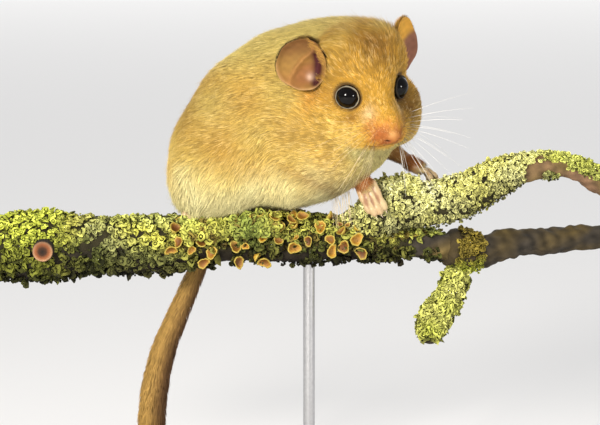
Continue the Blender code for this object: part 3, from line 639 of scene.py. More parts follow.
def joined(name, pieces):
    """The objects as one, keeping their painted colours."""
    places = [places_of(piece) for piece in pieces]
    triangles = [triangles_of(piece) for piece in pieces]
    colours = [read(piece.data.color_attributes["tone"].data, "color", 4)[:, :3] for piece in pieces]
    starts = np.cumsum([0] + [len(group) for group in places[:-1]])
    for piece in pieces:
        bpy.data.objects.remove(piece, do_unlink=True)
    shifted = [group + start for group, start in zip(triangles, starts)]
    whole = object_from_arrays(name, np.vstack(places), np.vstack(shifted))
    paint(whole, np.vstack(colours))
    return whole


def finished(obj, look, replaces=()):
    """Gives the piece its material, and fixes it to the part."""
    obj.data.materials.clear()
    obj.data.materials.append(MATERIALS[look])
    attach(obj, "root")
    if replaces:
        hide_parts(*replaces)


def remeshed(name, bm, voxel, melting=0):
    """The overlapping forms as one closed skin, smoothed that many times."""
    obj = object_from_bmesh(name, bm)
    remesh = obj.modifiers.new("Remesh", "REMESH")
    remesh.mode = "VOXEL"
    remesh.voxel_size = voxel
    if melting:
        melt = obj.modifiers.new("Smooth", "SMOOTH")
        melt.factor = 0.5
        melt.iterations = melting
    return applied(obj)


# Steps from one point of a run to the next
CURVE_STEPS = 24


def smooth_run(run, stations):
    """Places and radii read from a smooth curve through the run's points, evenly along it."""
    knots = np.array(run, float)
    knots = np.vstack([2 * knots[0] - knots[1], knots, 2 * knots[-1] - knots[-2]])
    fine = []
    for index in range(1, len(knots) - 2):
        before, start, end, after = knots[index - 1:index + 3]
        for t in np.linspace(0, 1, CURVE_STEPS, endpoint=False):
            fine.append(0.5 * (2 * start + (end - before) * t
                               + (2 * before - 5 * start + 4 * end - after) * t ** 2
                               + (3 * start - before - 3 * end + after) * t ** 3))
    fine.append(knots[-2])
    fine = np.array(fine)
    lengths = np.concatenate([[0], np.cumsum(size_of(np.diff(fine[:, :3], axis=0)))])
    wanted = np.linspace(0, lengths[-1], stations)
    return np.stack([np.interp(wanted, lengths, fine[:, k]) for k in range(4)], axis=1)


class Tube:
    """A round run with an axis frame at each station, for its own surface and for what grows on it."""

    def __init__(self, run, stations, shrink=0.0, lump=0.0, seed=0.0, thinnest=0.2):
        line = smooth_run(run, stations)
        self.places = np.array([seat(*station[:3]) for station in line])
        self.radii = np.maximum(line[:, 3] - shrink, thinnest) * MM
        self.tangents = unit(np.gradient(self.places, axis=0))
        self.lump = lump
        self.seed = seed
        across = np.cross(self.tangents[0], (0.0, 0.3, 1.0))
        self.across = []
        for tangent in self.tangents:
            across = unit(across - tangent * (across @ tangent))
            self.across.append(across)
        self.across = np.array(self.across)
        self.other = np.cross(self.tangents, self.across)
        steps = size_of(np.diff(self.places, axis=0))
        self.length = steps.sum()

    def at(self, share, angle, lift=0.0):
        """Places on the tube, their outward directions and the tube's own direction there."""
        share = np.asarray(share, float)
        angle = np.asarray(angle, float)
        index = np.clip(share, 0, 1) * (len(self.places) - 1)
        low = np.minimum(index.astype(int), len(self.places) - 2)
        part = (index - low)[:, None]

        def there(values):
            return values[low] * (1 - part) + values[low + 1] * part

        out = unit(np.cos(angle)[:, None] * there(self.across) + np.sin(angle)[:, None] * there(self.other))
        radius = there(self.radii[:, None])[:, 0]
        bump = np.sin(2 * angle + 26 * share + self.seed) + np.sin(3 * angle - 17 * share + 2 * self.seed)
        radius = radius * (1 + self.lump * bump) + lift
        return there(self.places) + out * radius[:, None], out, unit(there(self.tangents))

    def mesh(self, name, sides, rows, rough=0.0, seed=1, caps=0.6):
        """The closed surface, with a rounded cap of that share of the radius at each end."""
        share, angle = np.meshgrid(np.linspace(0, 1, rows), turns(sides), indexing="ij")
        places, out, _ = self.at(share.ravel(), angle.ravel())
        if rough:
            bumps = 0.55 * wander(places, 2.2, seed) + 0.5 * wander(places, 1.1, seed + 9)
            places = places + out * (bumps * rough * MM)[:, None]
        places = places.reshape(rows, sides, 3)
        grids = [places]
        for end, sign in ((0, -1), (-1, 1)):
            centre = places[end].mean(axis=0)
            direction = self.tangents[end] * sign * self.radii[end]
            cap = [centre + (places[end] - centre) * math.cos(turn) + direction * math.sin(turn) * caps
                   for turn in np.linspace(0, math.pi / 2, 5)[1:-1]]
            if sign < 0:
                grids.insert(0, np.array(cap[::-1]))
            else:
                grids.append(np.array(cap))
        grid = np.concatenate(grids)
        count = len(grid)
        poles = [self.places[0] - self.tangents[0] * self.radii[0] * caps,
                 self.places[-1] + self.tangents[-1] * self.radii[-1] * caps]
        ring = np.arange(sides)
        triangles = [grid_triangles(count, sides), fan(count * sides, ring, flipped=True),
                     fan(count * sides + 1, (count - 1) * sides + ring)]
        return object_from_arrays(name, np.vstack([grid.reshape(-1, 3), *poles]), np.vstack(triangles))


def grid_triangles(rows, columns, ring=False):
    """Two triangles for each cell of a grid of vertices, rolled into a tube, or into a ring."""
    row, column = np.meshgrid(np.arange(rows if ring else rows - 1), np.arange(columns), indexing="ij")
    row, column = row.ravel(), column.ravel()
    next_row, next_column = (row + 1) % rows, (column + 1) % columns
    a, b = row * columns + column, row * columns + next_column
    c, d = next_row * columns + next_column, next_row * columns + column
    return np.vstack([np.stack([a, b, c], axis=1), np.stack([a, c, d], axis=1)])


def fan(centre, ring, flipped=False):
    """Triangles from one vertex to the closed ring of vertices around it."""
    following = np.roll(ring, -1)
    middle = np.full(len(ring), centre)
    return np.stack([middle, following, ring] if flipped else [middle, ring, following], axis=1)


# Materials

class Look:
    """A material and its shader, with textures added as nodes."""

    def __init__(self, name, roughness, specular=0.5, sheen=0.0, coat=0.0, metallic=0.0):
        self.material = bpy.data.materials.new(name)
        self.material.use_nodes = True
        self.tree = self.material.node_tree
        self.shader = self.tree.nodes["Principled BSDF"]
        for socket, value in (("Roughness", roughness), ("Specular IOR Level", specular),
                              ("Sheen Weight", sheen), ("Coat Weight", coat), ("Metallic", metallic)):
            self.shader.inputs[socket].default_value = value

    def link(self, output, target):
        self.tree.links.new(output, target)

    def node(self, kind, values, **settings):
        """A node with its settings, and its sockets set to values or linked to other nodes."""
        made = self.tree.nodes.new("ShaderNode" + kind)
        for key, value in settings.items():
            setattr(made, key, value)
        for socket, value in values.items():
            if isinstance(value, bpy.types.NodeSocket):
                self.link(value, made.inputs[socket])
            else:
                made.inputs[socket].default_value = value
        return made

    def noise(self, scale, detail=4.0, distortion=0.0, stretch=None):
        place = self.node("TexCoord", {}).outputs["Object"]
        if stretch:
            place = self.node("Mapping", {"Vector": place, "Scale": stretch}).outputs["Vector"]
        values = {"Vector": place, "Scale": scale, "Detail": detail, "Distortion": distortion}
        return self.node("TexNoise", values).outputs["Fac"]

    def tone(self, output):
        self.link(output, self.shader.inputs["Base Color"])

    def ramp(self, texture, low, high, stops=(0, 1)):
        """The colour from low to high with the texture."""
        node = self.node("ValToRGB", {"Fac": texture})
        for element, stop, colour in zip(node.color_ramp.elements, stops, (low, high)):
            element.position = stop
            element.color = (*colour, 1)
        self.tone(node.outputs["Color"])

    def relief(self, texture, strength):
        lift = self.node("Bump", {"Height": texture, "Strength": strength, "Distance": RELIEF_DEPTH})
        self.link(lift.outputs["Normal"], self.shader.inputs["Normal"])


def painted(name, roughness, variation=0.12, grain=900.0, bump=0.0, bump_scale=2500.0, **values):
    """A material that takes the painted colour, varied in brightness by fine noise, with a fine relief."""
    look = Look(name, roughness, **values)
    tone = look.node("Attribute", {}, attribute_name="tone")
    limits = {"To Min": 1 - variation, "To Max": 1 + variation}
    span = look.node("MapRange", {"Value": look.noise(grain), **limits})
    scaling = {0: tone.outputs["Color"], "Scale": span.outputs["Result"]}
    look.tone(look.node("VectorMath", scaling, operation="SCALE").outputs["Vector"])
    if bump:
        look.relief(look.noise(bump_scale, detail=3.0), bump)
    return look.material


def walnut_material():
    look = Look("walnut", 0.38, coat=0.15)
    grain = look.noise(3.0, detail=8.0, distortion=0.6, stretch=WALNUT_STRETCH)
    look.ramp(grain, WALNUT_DARK, WALNUT_LIGHT, stops=(0.32, 0.70))
    look.relief(grain, 0.15)
    return look.material


def steel_material():
    look = Look("brushed_steel", 0.3, metallic=1.0)
    look.ramp(look.noise(1500.0), STEEL_DARK, STEEL_LIGHT)
    return look.material


def eye_material():
    look = Look("eye", 0.02, specular=0.20)
    look.ramp(look.noise(300.0), EYE_BLACK, EYE_BROWN)
    return look.material


# Painted materials
PAINTED = {
    "coat": dict(roughness=0.75, variation=0.06, grain=1500.0, specular=0.20, sheen=0.05),
    "skin_under_coat": dict(roughness=0.7, bump=0.5, bump_scale=4000.0, specular=0.3),
    "ear_skin": dict(roughness=0.72, variation=0.10, bump=0.45, bump_scale=3500.0, specular=0.25),
    "bare_skin": dict(roughness=0.38, variation=0.08, grain=700.0, bump=0.35, bump_scale=3000.0),
    "lid_skin": dict(roughness=0.55, variation=0.10, specular=0.15),
    "claw": dict(roughness=0.3, variation=0.05),
    "whisker": dict(roughness=0.35, variation=0.03),
    "lichen": dict(roughness=0.85, variation=0.30, grain=2600.0, bump=0.8, bump_scale=4500.0, specular=0.25),
    "lichen_cup": dict(roughness=0.6, variation=0.25, grain=2200.0, bump=0.5, bump_scale=3500.0),
    "bark": dict(roughness=0.85, variation=0.35, grain=600.0, bump=0.9, bump_scale=1300.0, specular=0.25),
}
MATERIALS = {name: painted(name, **values) for name, values in PAINTED.items()}
MATERIALS["eye"] = eye_material()


# Coat colours over the body

def spot(points, at, radius):
    """A soft round patch: 1 at its middle, and almost nothing at twice its radius."""
    return np.exp(-((size_of(points - np.array(at)) / radius) ** 2))


def oval(along, height, at, radii):
    """A soft oval patch on the flank, in millimetres along the branch and above it."""
    return np.exp(-((along - at[0]) / radii[0]) ** 2 - ((height - at[1]) / radii[1]) ** 2)


def patched(tone, local, patches, sign=1):
    """Round patches on the head laid over its tone, mirrored for the left side."""
    for colour, strength, (forward, side, up), radius in patches:
        tone = mixed(tone, colour, strength * spot(local, (forward, side * sign, up), radius))
    return tone


# Patches of colour on the head: colour, strength, middle in head axes, and radius
CROWN_PATCHES = ((BROWN, 0.78, (-1.8, -0.8, 9.2), 4.3),)
BROW_PATCHES = ((HEAD_BRIGHT, 0.65, (0.5, 4.6, 4.8), 3.0),)
SIDE_PATCHES = (
    (ORANGE, 0.85, (-5.5, 9.8, -4.0), 3.6),
    (PALE_SPOT, 0.75, (6.0, 3.8, -1.9), 1.7),
    (PAD_CREAM, 0.28, (5.2, 7.6, -7.2), 2.2),
    (BROWN, 0.75, (3.9, 6.2, -3.6), 1.7),
)
# Painted shade on the far side of the face, in front of and below the far eye
FAR_SHADE_PATCHES = ((DARK_EDGE, 0.75, (4.6, -4.6, -2.5), 1.2), (BROWN, 0.8, (7.1, -4.3, -3.8), 1.6))
# A painted highlight on top of the nose tip
NOSE_HIGHLIGHT_PATCHES = ((NOSE_HIGHLIGHT, 0.7, (11.1, 0.5, -4.4), 0.8),)
# The nostrils' dark red: partly their skin, partly painted shade in the openings
NOSTRIL_PATCHES = ((NOSTRIL, 0.8, (11.0, 1.2, -6.4), 0.6),)

# Middles of the skull and the snout, and where the muzzle's colour lies and reaches, in head axes
SKULL_MIDDLE = (-3.5, 0, -1)
SNOUT_MIDDLE = (8, 0, -5.5)
MUZZLE_AT = np.array((9.3, 1.0, -5.0))
MUZZLE_REACH = np.array((1.3, 1.25, 0.95))
FAR_ARM_SHADE = 0.72


def head_tone(local):
    """The head's colours at places in head axes."""
    forward, side, up = local.T
    bright = np.clip(smooth(forward, -6, 4) * 0.8 + 0.5 * smooth(-side, 1, 6), 0, 1)
    tone = patched(mixed(HEAD_GOLD, HEAD_BRIGHT, bright), local, CROWN_PATCHES)
    tone = mixed(tone, CHEEK, smooth(-up, 1.0, 5.0) * smooth(np.abs(side), 3.0, 6.0))
    tone = patched(tone, local, BROW_PATCHES)
    for sign in (1, -1):
        tone = patched(tone, local, SIDE_PATCHES, sign)
        off_eye = size_of(local - in_head(eye_place(sign)))
        tone = mixed(tone, DARK_EDGE, 0.85 * fade(off_eye, 3.0, 3.5))
    # Painted shade: the skin in front of and above the far eye is darkened, as shade in its hollow.
    tone = mixed(tone, DARK_EDGE, 0.7 * fade(off_eye, 3.2, 5.0) * smooth(forward, -3.0, 1.5) * (side < 0))
    # Painted shade in front of and below the far eye.
    tone = patched(tone, local, FAR_SHADE_PATCHES)
    # Painted shade: the far cheek and jaw are darkened with brown.
    tone = mixed(tone, BROWN * 0.5, 0.85 * smooth(-side, 4.4, 7.6) * smooth(-up, 0, 4))
    muzzle = mixed(MUZZLE, MUZZLE_TOP, smooth(up, -4.4, -2.4))
    # Painted shade: the muzzle is browner towards its far side.
    muzzle = mixed(muzzle, BROWN, 0.35 * smooth(-side, 0.5, 3.0))
    off = size_of((local - MUZZLE_AT) / MUZZLE_REACH) + 0.35 * np.sin(3 * side + 2 * up)
    off = off + 0.3 * np.sin(5 * up - 4 * side + 3 * forward)
    tone = mixed(tone, muzzle, 0.92 * fade(off, 1.6, 4.7))
    tone = mixed(tone, THROAT, 0.9 * smooth(-up, 8.4, 10.2) * smooth(forward, -6, 1))
    tone = mixed(tone, NOSE, 0.7 * fade(size_of(local - NOSE_AT), 1.2, 2.4))
    # Painted highlight on top of the nose tip.
    tone = patched(tone, local, NOSE_HIGHLIGHT_PATCHES)
    # Dark red at the nostrils: partly their skin, partly painted shade in the openings.
    for sign in (1, -1):
        tone = patched(tone, local, NOSTRIL_PATCHES, sign)
    return tone


def coat_tone(points):
    """The colour of the coat's tips at places on the skin."""
    local = in_head(points)
    along, depth, height = from_branch(points)
    tone = mixed(GOLD, DEEP_GOLD, 0.5 + 0.5 * wander(points, 7, 11))
    tone = mixed(tone, PALE_BACK, 0.85 * smooth(height + 0.35 * depth, 33, 43) * fade(along, 8, 18))
    tone = mixed(tone, BROWN, 0.30 * oval(along, height, (-17, 29), (5, 6)))
    # Painted shade: olive darkening towards the back's rear upper edge, where the light falls off.
    tone = mixed(tone, OLIVE, 0.35 * smooth(-along, 16, 25) * smooth(height, 20, 30))
    tone = mixed(tone, CREAM, 0.95 * fade(height + 1.5 * wander(points, 5, 12), 9, 21))
    shoulder = oval(along, height, (-3, 27), (8, 8))
    tone = mixed(tone, OLIVE, 0.22 * shoulder * (0.6 + 0.4 * wander(points, 3, 13)))
    # Painted shade: a brown line along the crease between the chest and the upper arm.
    crease_shade = np.exp(-((height - 16.4 + 0.5 * along) / 1.3) ** 2)
    tone = mixed(tone, BROWN, 0.45 * crease_shade * smooth(along, -6, -1) * smooth(-depth, 2, 6))
    # Painted shade: the low chest beside the forearm and the belly's underside are darkened, where the body
    # shades itself.
    low_chest_shade = smooth(along, -1, 9) * fade(height, 13.0, 19.0)
    underside_shade = fade(height, 8.5, 15.0)
    tone = tone * (1 - 0.50 * low_chest_shade)[:, None] * (1 - 0.34 * underside_shade * (1 - low_chest_shade))[:, None]
    tone = mixed(tone, THROAT, 0.75 * oval(along, height, (17, 19), (6, 4.5)))
    off = np.minimum(size_of(local - SKULL_MIDDLE), size_of(local - SNOUT_MIDDLE) + 5)
    tone = mixed(tone, head_tone(local), fade(off + 0.8 * wander(points, 4, 14), 11.5, 16.0))
    # Painted shade: the skin in the hollow in front of each ear's opening is painted dark.
    tone = mixed(tone, EAR_HOLE, 0.8 * fade(past_hollow(points), 0.0, 0.3 * MM))
    for name, run in FOREARMS.items():
        shade = FAR_ARM_SHADE if name == "left" else 1.0
        tone = mixed(tone, FOREARM * shade, 0.85 * fade(run_distance(points, run) / MM, -0.4, 1.8))
    return tone


def grizzle(points):
    """How much of the coat is streaked with dark hairs."""
    share = smooth(from_branch(points)[2], 14, 25) * (0.55 + 0.45 * wander(points, 6, 21))
    return np.clip(share * smooth(from_nose(points), 8, 15), 0, 1)


# Tufts of the coat

# A tuft's three edges across and off the skin in half widths, how deep its root is sunk in
# millimetres, its width on the map, and the most triangles that one piece may have
TUFT_CORNERS = ((-1.0, -0.2), (1.0, -0.2), (0.0, 0.45))
TUFT_SUNK = 0.15
TUFT_PATCH = 0.0028
MAX_TRIANGLES = 190000


def lie_of_coat(points, normals):
    """The way the hair points, along the skin: back from the nose, along the back and down the sides."""
    local = in_head(points)
    radial = unit(local - NOSE_AT)
    radial[:, 2] += 0.25 * smooth(-local[:, 2], 2, 8)
    head_way = radial @ HEAD_AXES.T
    height = from_branch(points)[2]
    down = 0.30 + 2.4 * fade(height, 9, 27)
    body_way = np.stack([np.full(len(points), -1.0), np.zeros(len(points)), -down], axis=1)
    share = smooth(from_nose(points), 17, 30)[:, None]
    way = head_way * (1 - share) + unit(body_way) * share
    for side in (1, -1):
        away = points - eye_place(side)
        near = fade(size_of(away) / MM, 2.6, 5.5)
        way = way + unit(away) * near[:, None] * 1.4
    for run in FOREARMS.values():
        near = fade(run_distance(points, run) / MM, 0.0, 1.6)
        way = way * (1 - near[:, None]) + unit(seat(*run[-1][:3]) - seat(*run[0][:3])) * near[:, None] * 1.2
    way = way + 0.22 * drift(points, 5, 31) + 0.10 * RNG.normal(size=points.shape)
    return laid_flat(way, normals)


def coat_length(points):
    """Length of the hair in millimetres."""
    reach = from_nose(points)
    length = 0.5 + 0.5 * smooth(reach, 3, 9) + 0.6 * smooth(reach, 9, 16) + 0.8 * smooth(reach, 15, 27)
    height = from_branch(points)[2]
    length += 0.8 * fade(height, 8, 13) * smooth(reach, 15, 20)
    length += 1.5 * fade(height, 9, 15) * smooth(-points[:, 0] / MM, 17, 23)
    for side in (1, -1):
        off = size_of(points - eye_place(side)) / MM
        length = length * (0.4 + 0.6 * smooth(off, 3.0, 5.5))
    for run in FOREARMS.values():
        near = fade(run_distance(points, run) / MM, -0.2, 1.4)
        to_wrist = size_of(points - seat(*run[-1][:3])) / MM
        arm = 0.7 + 1.1 * smooth(to_wrist, 1, 8)
        length = length * (1 - near) + arm * near
    return length


def scattered(obj, density):
    """Places spread over the surface by that many for each square millimetre, with their normals."""
    places, normals, triangles = places_of(obj), normals_of(obj), triangles_of(obj)
    corners = places[triangles]
    area = size_of(np.cross(corners[:, 1] - corners[:, 0], corners[:, 2] - corners[:, 0])) / 2
    weight = area / MM ** 2 * density(corners.mean(axis=1))
    total = np.cumsum(weight)
    count = int(total[-1])
    spots = (np.arange(count) + RNG.random(count)) / count * total[-1]
    face = np.minimum(np.searchsorted(total, spots), len(triangles) - 1)
    one, two = RNG.random((2, count))
    flip = one + two > 1
    one, two = np.where(flip, 1 - one, one), np.where(flip, 1 - two, two)
    weights = np.stack([1 - one - two, one, two], axis=1)[:, :, None]
    chosen = triangles[face]
    return (places[chosen] * weights).sum(axis=1), unit((normals[chosen] * weights).sum(axis=1))


def groups_of(roots, size):
    """A leader among each about so many neighbours, and every root's nearest leader."""
    leaders = RNG.choice(len(roots), max(len(roots) // size, 1), replace=False)
    tree = KDTree(len(leaders))
    for index, leader in enumerate(leaders):
        tree.insert(Vector(roots[leader]), index)
    tree.balance()
    return leaders, np.array([tree.find(Vector(root))[1] for root in roots])


def clumped(roots, tips, share, size):
    """Tips drawn together in locks, each of about so many tufts."""
    leaders, nearest = groups_of(roots, size)
    return tips + (tips[leaders[nearest]] - tips) * share


def tufts(name, roots, normals, lie, length, width, rise, root_tone, tip_tone, uv, bent):
    """Tapering closed tufts of three edges, as one mesh: bent half way and drawn into locks, or straight."""
    count = len(roots)
    length = (length * MM)[:, None]
    half = (width * MM / 2)[:, None]
    rise = rise[:, None]
    tips = roots + length * (lie * 0.95 + normals * rise)
    rings = [(roots - normals * TUFT_SUNK * MM, 1.0)]
    if bent:
        drawn = clumped(roots, tips, 0.25, 7)
        halfway = roots + length * (lie * 0.5 + normals * rise * 0.62)
        rings.append((halfway + (drawn - tips) * 0.4, 0.85))
        tips = drawn
    across = np.cross(normals, lie)
    corners = 3 * len(rings) + 1
    places, shades, facing = (np.zeros((count, corners, 3)) for _ in range(3))
    spread = np.zeros((count, corners, 2))
    for section, (centre, size) in enumerate(rings):
        for corner, (out, up) in enumerate(TUFT_CORNERS):
            index = section * 3 + corner
            places[:, index] = centre + across * half * size * out + normals * half * size * up
            facing[:, index] = normals + across * out * 0.25
            shades[:, index] = root_tone if section == 0 else root_tone * 0.35 + tip_tone * 0.65
            spread[:, index] = (out, section - 1)
    places[:, -1] = tips
    facing[:, -1] = normals
    shades[:, -1] = tip_tone
    spread[:, -1] = (0, 1)
    pattern = [(0, 2, 1)]
    last = 3 * (len(rings) - 1)
    for low, high in ((0, 1), (1, 2), (2, 0)):
        if bent:
            pattern += [(low, high, 3 + high), (low, 3 + high, 3 + low)]
        pattern.append((last + low, last + high, corners - 1))
    triangles = (np.array(pattern)[None] + (np.arange(count) * corners)[:, None, None]).reshape(-1, 3)
    obj = object_from_arrays(name, places.reshape(-1, 3), triangles)
    paint(obj, shades.reshape(-1, 3))
    places_uv = (uv[:, None] + spread * TUFT_PATCH / 2).reshape(-1, 2)
    layer = obj.data.uv_layers.new(name="OFBake")
    layer.data.foreach_set("uv", places_uv[triangles.ravel()].astype(np.float32).ravel())
    obj.data.normals_split_custom_set_from_vertices(unit(facing.reshape(-1, 3)).astype(np.float32))
    finished(obj, "coat")


def chart(points, centre, corner, size):
    """Each direction from a centre on one square of the map, as an octahedron unfolds."""
    way = points - centre
    way = way / np.abs(way).sum(axis=1, keepdims=True)
    u, v = way[:, 0], way[:, 1]
    behind = way[:, 2] < 0
    folded_u = (1 - np.abs(v)) * np.where(u < 0, -1, 1)
    folded_v = (1 - np.abs(u)) * np.where(v < 0, -1, 1)
    u, v = np.where(behind, folded_u, u), np.where(behind, folded_v, v)
    return np.array(corner) + (np.stack([u, v], axis=1) * 0.49 + 0.5) * size


def coat_pieces(name, hair, bent=True):
    """The coat of one region, in as many pieces as their size allows, cut along the body.

    The hair is given as roots, normals, lie, length, width, rise, root and tip tones, and places on
    the map, with a row for each tuft.
    """
    pieces = math.ceil(len(hair[0]) * (10 if bent else 4) / MAX_TRIANGLES)
    order = np.argsort(hair[0][:, 0])
    for index, chosen in enumerate(np.array_split(order, pieces)):
        piece_name = name if pieces == 1 else f"{name}_{index + 1}"
        tufts(piece_name, *(values[chosen] for values in hair), bent)


def tuft_tones(points, tone, group):
    """Root and tip colours: about so many neighbours are alike, some of them dark or light."""
    count = len(points)
    leaders, nearest = groups_of(points, group)
    reach = from_nose(points)
    face = fade(reach, 14, 26)
    swing = RNG.normal(size=len(leaders))[nearest] * (0.08 + 0.15 * face) + 0.08 * RNG.normal(size=count)
    tip = tone * np.clip(1 + swing, 0.5, 1.5)[:, None]
    chance = 0.75 * RNG.random(len(leaders))[nearest] + 0.25 * RNG.random(count)
    dark = chance < 0.14 + 0.20 * grizzle(points) + 0.12 * face
    tip = np.where(dark[:, None], mixed(tip, HAIR_DARK, 0.48 + 0.14 * face), tip)
    light = chance > 0.74
    tip = np.where(light[:, None], mixed(tip * 1.2, HAIR_LIGHT, 0.22 + 0.10 * face), tip)
    share = 0.35 * smooth(reach, 8, 18)
    # The darker root colour: partly the grey underfur, partly painted shade deep in the coat.
    root = mixed(tone * 0.66, UNDERFUR * 0.8, share)
    return root, tip


def coat_roots(skin, density):
    """Roots of hair over the skin, left out under the branch, in the eyes and at the wrists."""
    roots, normals = scattered(skin, density)
    keep = perch_distance(roots) > -0.1 * MM
    for side in (1, -1):
        keep &= size_of(roots - eye_place(side)) > EYE_RADIUS + 0.35 * MM
    for run in FOREARMS.values():
        keep &= size_of(roots - seat(*run[-1][:3])) > 0.7 * MM
    keep &= past_hollow(roots) > 0.1 * MM
    keep &= from_nose(roots) > 1.3
    return roots[keep], normals[keep]


# Where the hair on the crown stands up, in head axes
CROWN_AT = (-10, -3.5, 8.5)

# Layers of the coat: name, whether its tufts are bent, and how many grow on a square millimetre
# of the body, how many more on the head, and how many more again on the face
COAT_LAYERS = (("down", False, (16.8, 7, 15)), ("locks", True, (8.0, 5, 10)))


def body_coat(skin):
    """The coat in two layers: fine short hair all over, and longer bent locks above it."""
    for layer, bent, (body, head, face) in COAT_LAYERS:
        def density(points):
            reach = from_nose(points)
            return body + head * fade(reach, 14, 26) + face * fade(reach, 8, 14)

        roots, normals = coat_roots(skin, density)
        lie = lie_of_coat(roots, normals)
        count = len(roots)
        length = coat_length(roots) * RNG.uniform(0.75, 1.2, count)
        crown = spot(in_head(roots), CROWN_AT, 4.5)
        by_ear = sum(spot(roots / MM, place / MM, 1.9) for place in EAR_FRONTS)
        length = length * (1 + 0.25 * by_ear)
        rise = 0.27 + 0.06 * RNG.normal(size=count) + 0.4 * crown + 0.25 * by_ear
        if bent:
            width = 0.065 + 0.035 * length
            guard = RNG.random(count) < 0.06
            length = np.where(guard, length * 1.2, length)
            width = np.where(guard, 0.07, width)
            stray = RNG.random(count) < 0.02 + 0.05 * crown
            rise = rise + 0.12 * guard + 0.45 * stray
            width = np.where(stray, 0.05, width)
        else:
            length = length * 0.8
            width = 0.06 + 0.03 * length
            rise = rise + 0.05 + 0.08 * RNG.random(count)
        tones = tuft_tones(roots, coat_tone(roots), 4 if bent else 8)
        hair = (roots, normals, lie, length, width, rise, *tones)
        on_the_head = from_nose(roots) < 24
        for name, chosen, centre, corner in (("head", on_the_head, on_head(-4, 0, -2), (0.0, 0.5)),
                                             ("body", ~on_the_head, seat(-6, 4, 24), (0.5, 0.5))):
            uv = chart(roots[chosen], centre, corner, 0.5)
            coat_pieces(f"coat_{name}_{layer}", (*(values[chosen] for values in hair), uv), bent)


# The skin

TRUNK_COAT = 1.1 * MM
HEAD_COAT = 0.25 * MM


def sphere_masses():
    """Centre, radii and axes of each mass under the coat, as a start for the skin."""
    for centre, radii, yaw, pitch in TRUNK.values():
        yield seat(*centre), mm(*radii) - TRUNK_COAT, turned(yaw, pitch)
    for masses in (SKULL, FACE):
        for centre, radii in mirrored_masses(masses):
            yield centre, radii - HEAD_COAT, HEAD_AXES
    for run in FOREARMS.values():
        for station in smooth_run(run, 9):
            yield seat(*station[:3]), np.full(3, (station[3] - FOREARM_COAT) * MM), np.eye(3)


def refined(obj, chosen):
    """Splits the chosen faces once."""
    bm = bmesh.new()
    bm.from_mesh(obj.data)
    bm.faces.ensure_lookup_table()
    edges = {edge for index in np.flatnonzero(chosen) for edge in bm.faces[index].edges}
    bmesh.ops.subdivide_edges(bm, edges=list(edges), cuts=1, use_grid_fill=True)
    bmesh.ops.triangulate(bm, faces=[face for face in bm.faces if len(face.verts) > 4])
    bm.to_mesh(obj.data)
    bm.free()


def face_centres(obj):
    return read(obj.data.polygons, "center").astype(float)


def body_skin():
    """The skin of trunk, head and forearms, finer towards the nose, and shaded under the coat."""
    bm = bmesh.new()
    for centre, radii, axes in sphere_masses():
        made = bmesh.ops.create_icosphere(bm, subdivisions=3, radius=1.0)
        for vert in made["verts"]:
            vert.co = Vector(centre + axes @ (np.array(vert.co) * radii))
    obj = remeshed("body_skin", bm, BODY_VOXEL)
    move_to(obj, settled(places_of(obj), skin_distance, 5))
    for reach in (11.0, 6.5):
        refined(obj, from_nose(face_centres(obj)) < reach)
        move_to(obj, settled(places_of(obj), skin_distance, 3))
    obj.data.shade_smooth()
    points = places_of(obj)
    tone = coat_tone(points)
    shadow = 0.74 + 0.2 * fade(from_nose(points), 4, 9)
    shadow = shadow * (1 - 0.75 * smooth(face_creases(points) / MM, 0.12, 0.5))
    paint(obj, tone * shadow[:, None])
    return obj


def tail_skin(tube):
    obj = tube.mesh("tail_skin", 20, TAIL_STATIONS)
    points = places_of(obj)
    # Painted shade: the skin under the fringe is darkened, and browner towards the body where the animal
    # shades it.
    share = smooth(points[:, 0] / MM, -34, -20)
    paint(obj, mixed(TAIL_GOLD, TAIL_SHADE_BROWN, 0.3 + 0.4 * share) * 0.75)
    return obj


def tail_coat(tube):
    """The tail's fringe, in faint rings, with painted shade on its right."""
    count = TAIL_TUFTS
    share = RNG.random(count)
    angle = RNG.uniform(0, FULL_TURN, count)
    keep = RNG.random(count) < 0.55 + 0.45 * smooth(share, 0.1, 0.9)
    share, angle = share[keep], angle[keep]
    roots, normals, along = tube.at(share, angle)
    clear = (run_distance(roots, STEM_RUN, LIMB_BLEND) > -1.5 * MM) & (coat_distance(roots) > -1.2 * MM)
    share, angle, roots, normals, along = (values[clear] for values in (share, angle, roots, normals, along))
    count = len(roots)
    lie = along + 0.10 * RNG.normal(size=roots.shape) + 0.12 * drift(roots, 4, 41)
    lie = laid_flat(lie, normals)
    length = (1.9 + 0.9 * smooth(share, 0.2, 0.9)) * RNG.uniform(0.75, 1.2, count)
    rings = 0.5 + 0.5 * np.sin(share * tube.length / MM * FULL_TURN / 1.9)
    last = len(tube.places) - 1
    middle = tube.places[np.minimum((share * last).astype(int), last), 0]
    # Painted shade: the fringe darkens towards its right side, away from the light.
    right = smooth(roots[:, 0] - middle, -1.5 * MM, 2 * MM)
    tone = mixed(TAIL_GOLD, TAIL_SHADE_BROWN, 0.92 * right)
    tone = tone * (0.90 + 0.14 * rings + 0.10 * RNG.normal(size=count))[:, None]
    rise = 0.26 + 0.05 * RNG.normal(size=count)
    uv = np.stack([0.02 + 0.96 * share, 0.27 + 0.2 * angle / FULL_TURN], axis=1)
    width = 0.085 + 0.055 * length
    # Darker roots: painted shade inside the fringe.
    coat_pieces("coat_tail", (roots, normals, lie, length, width, rise, tone * 0.72, tone, uv))


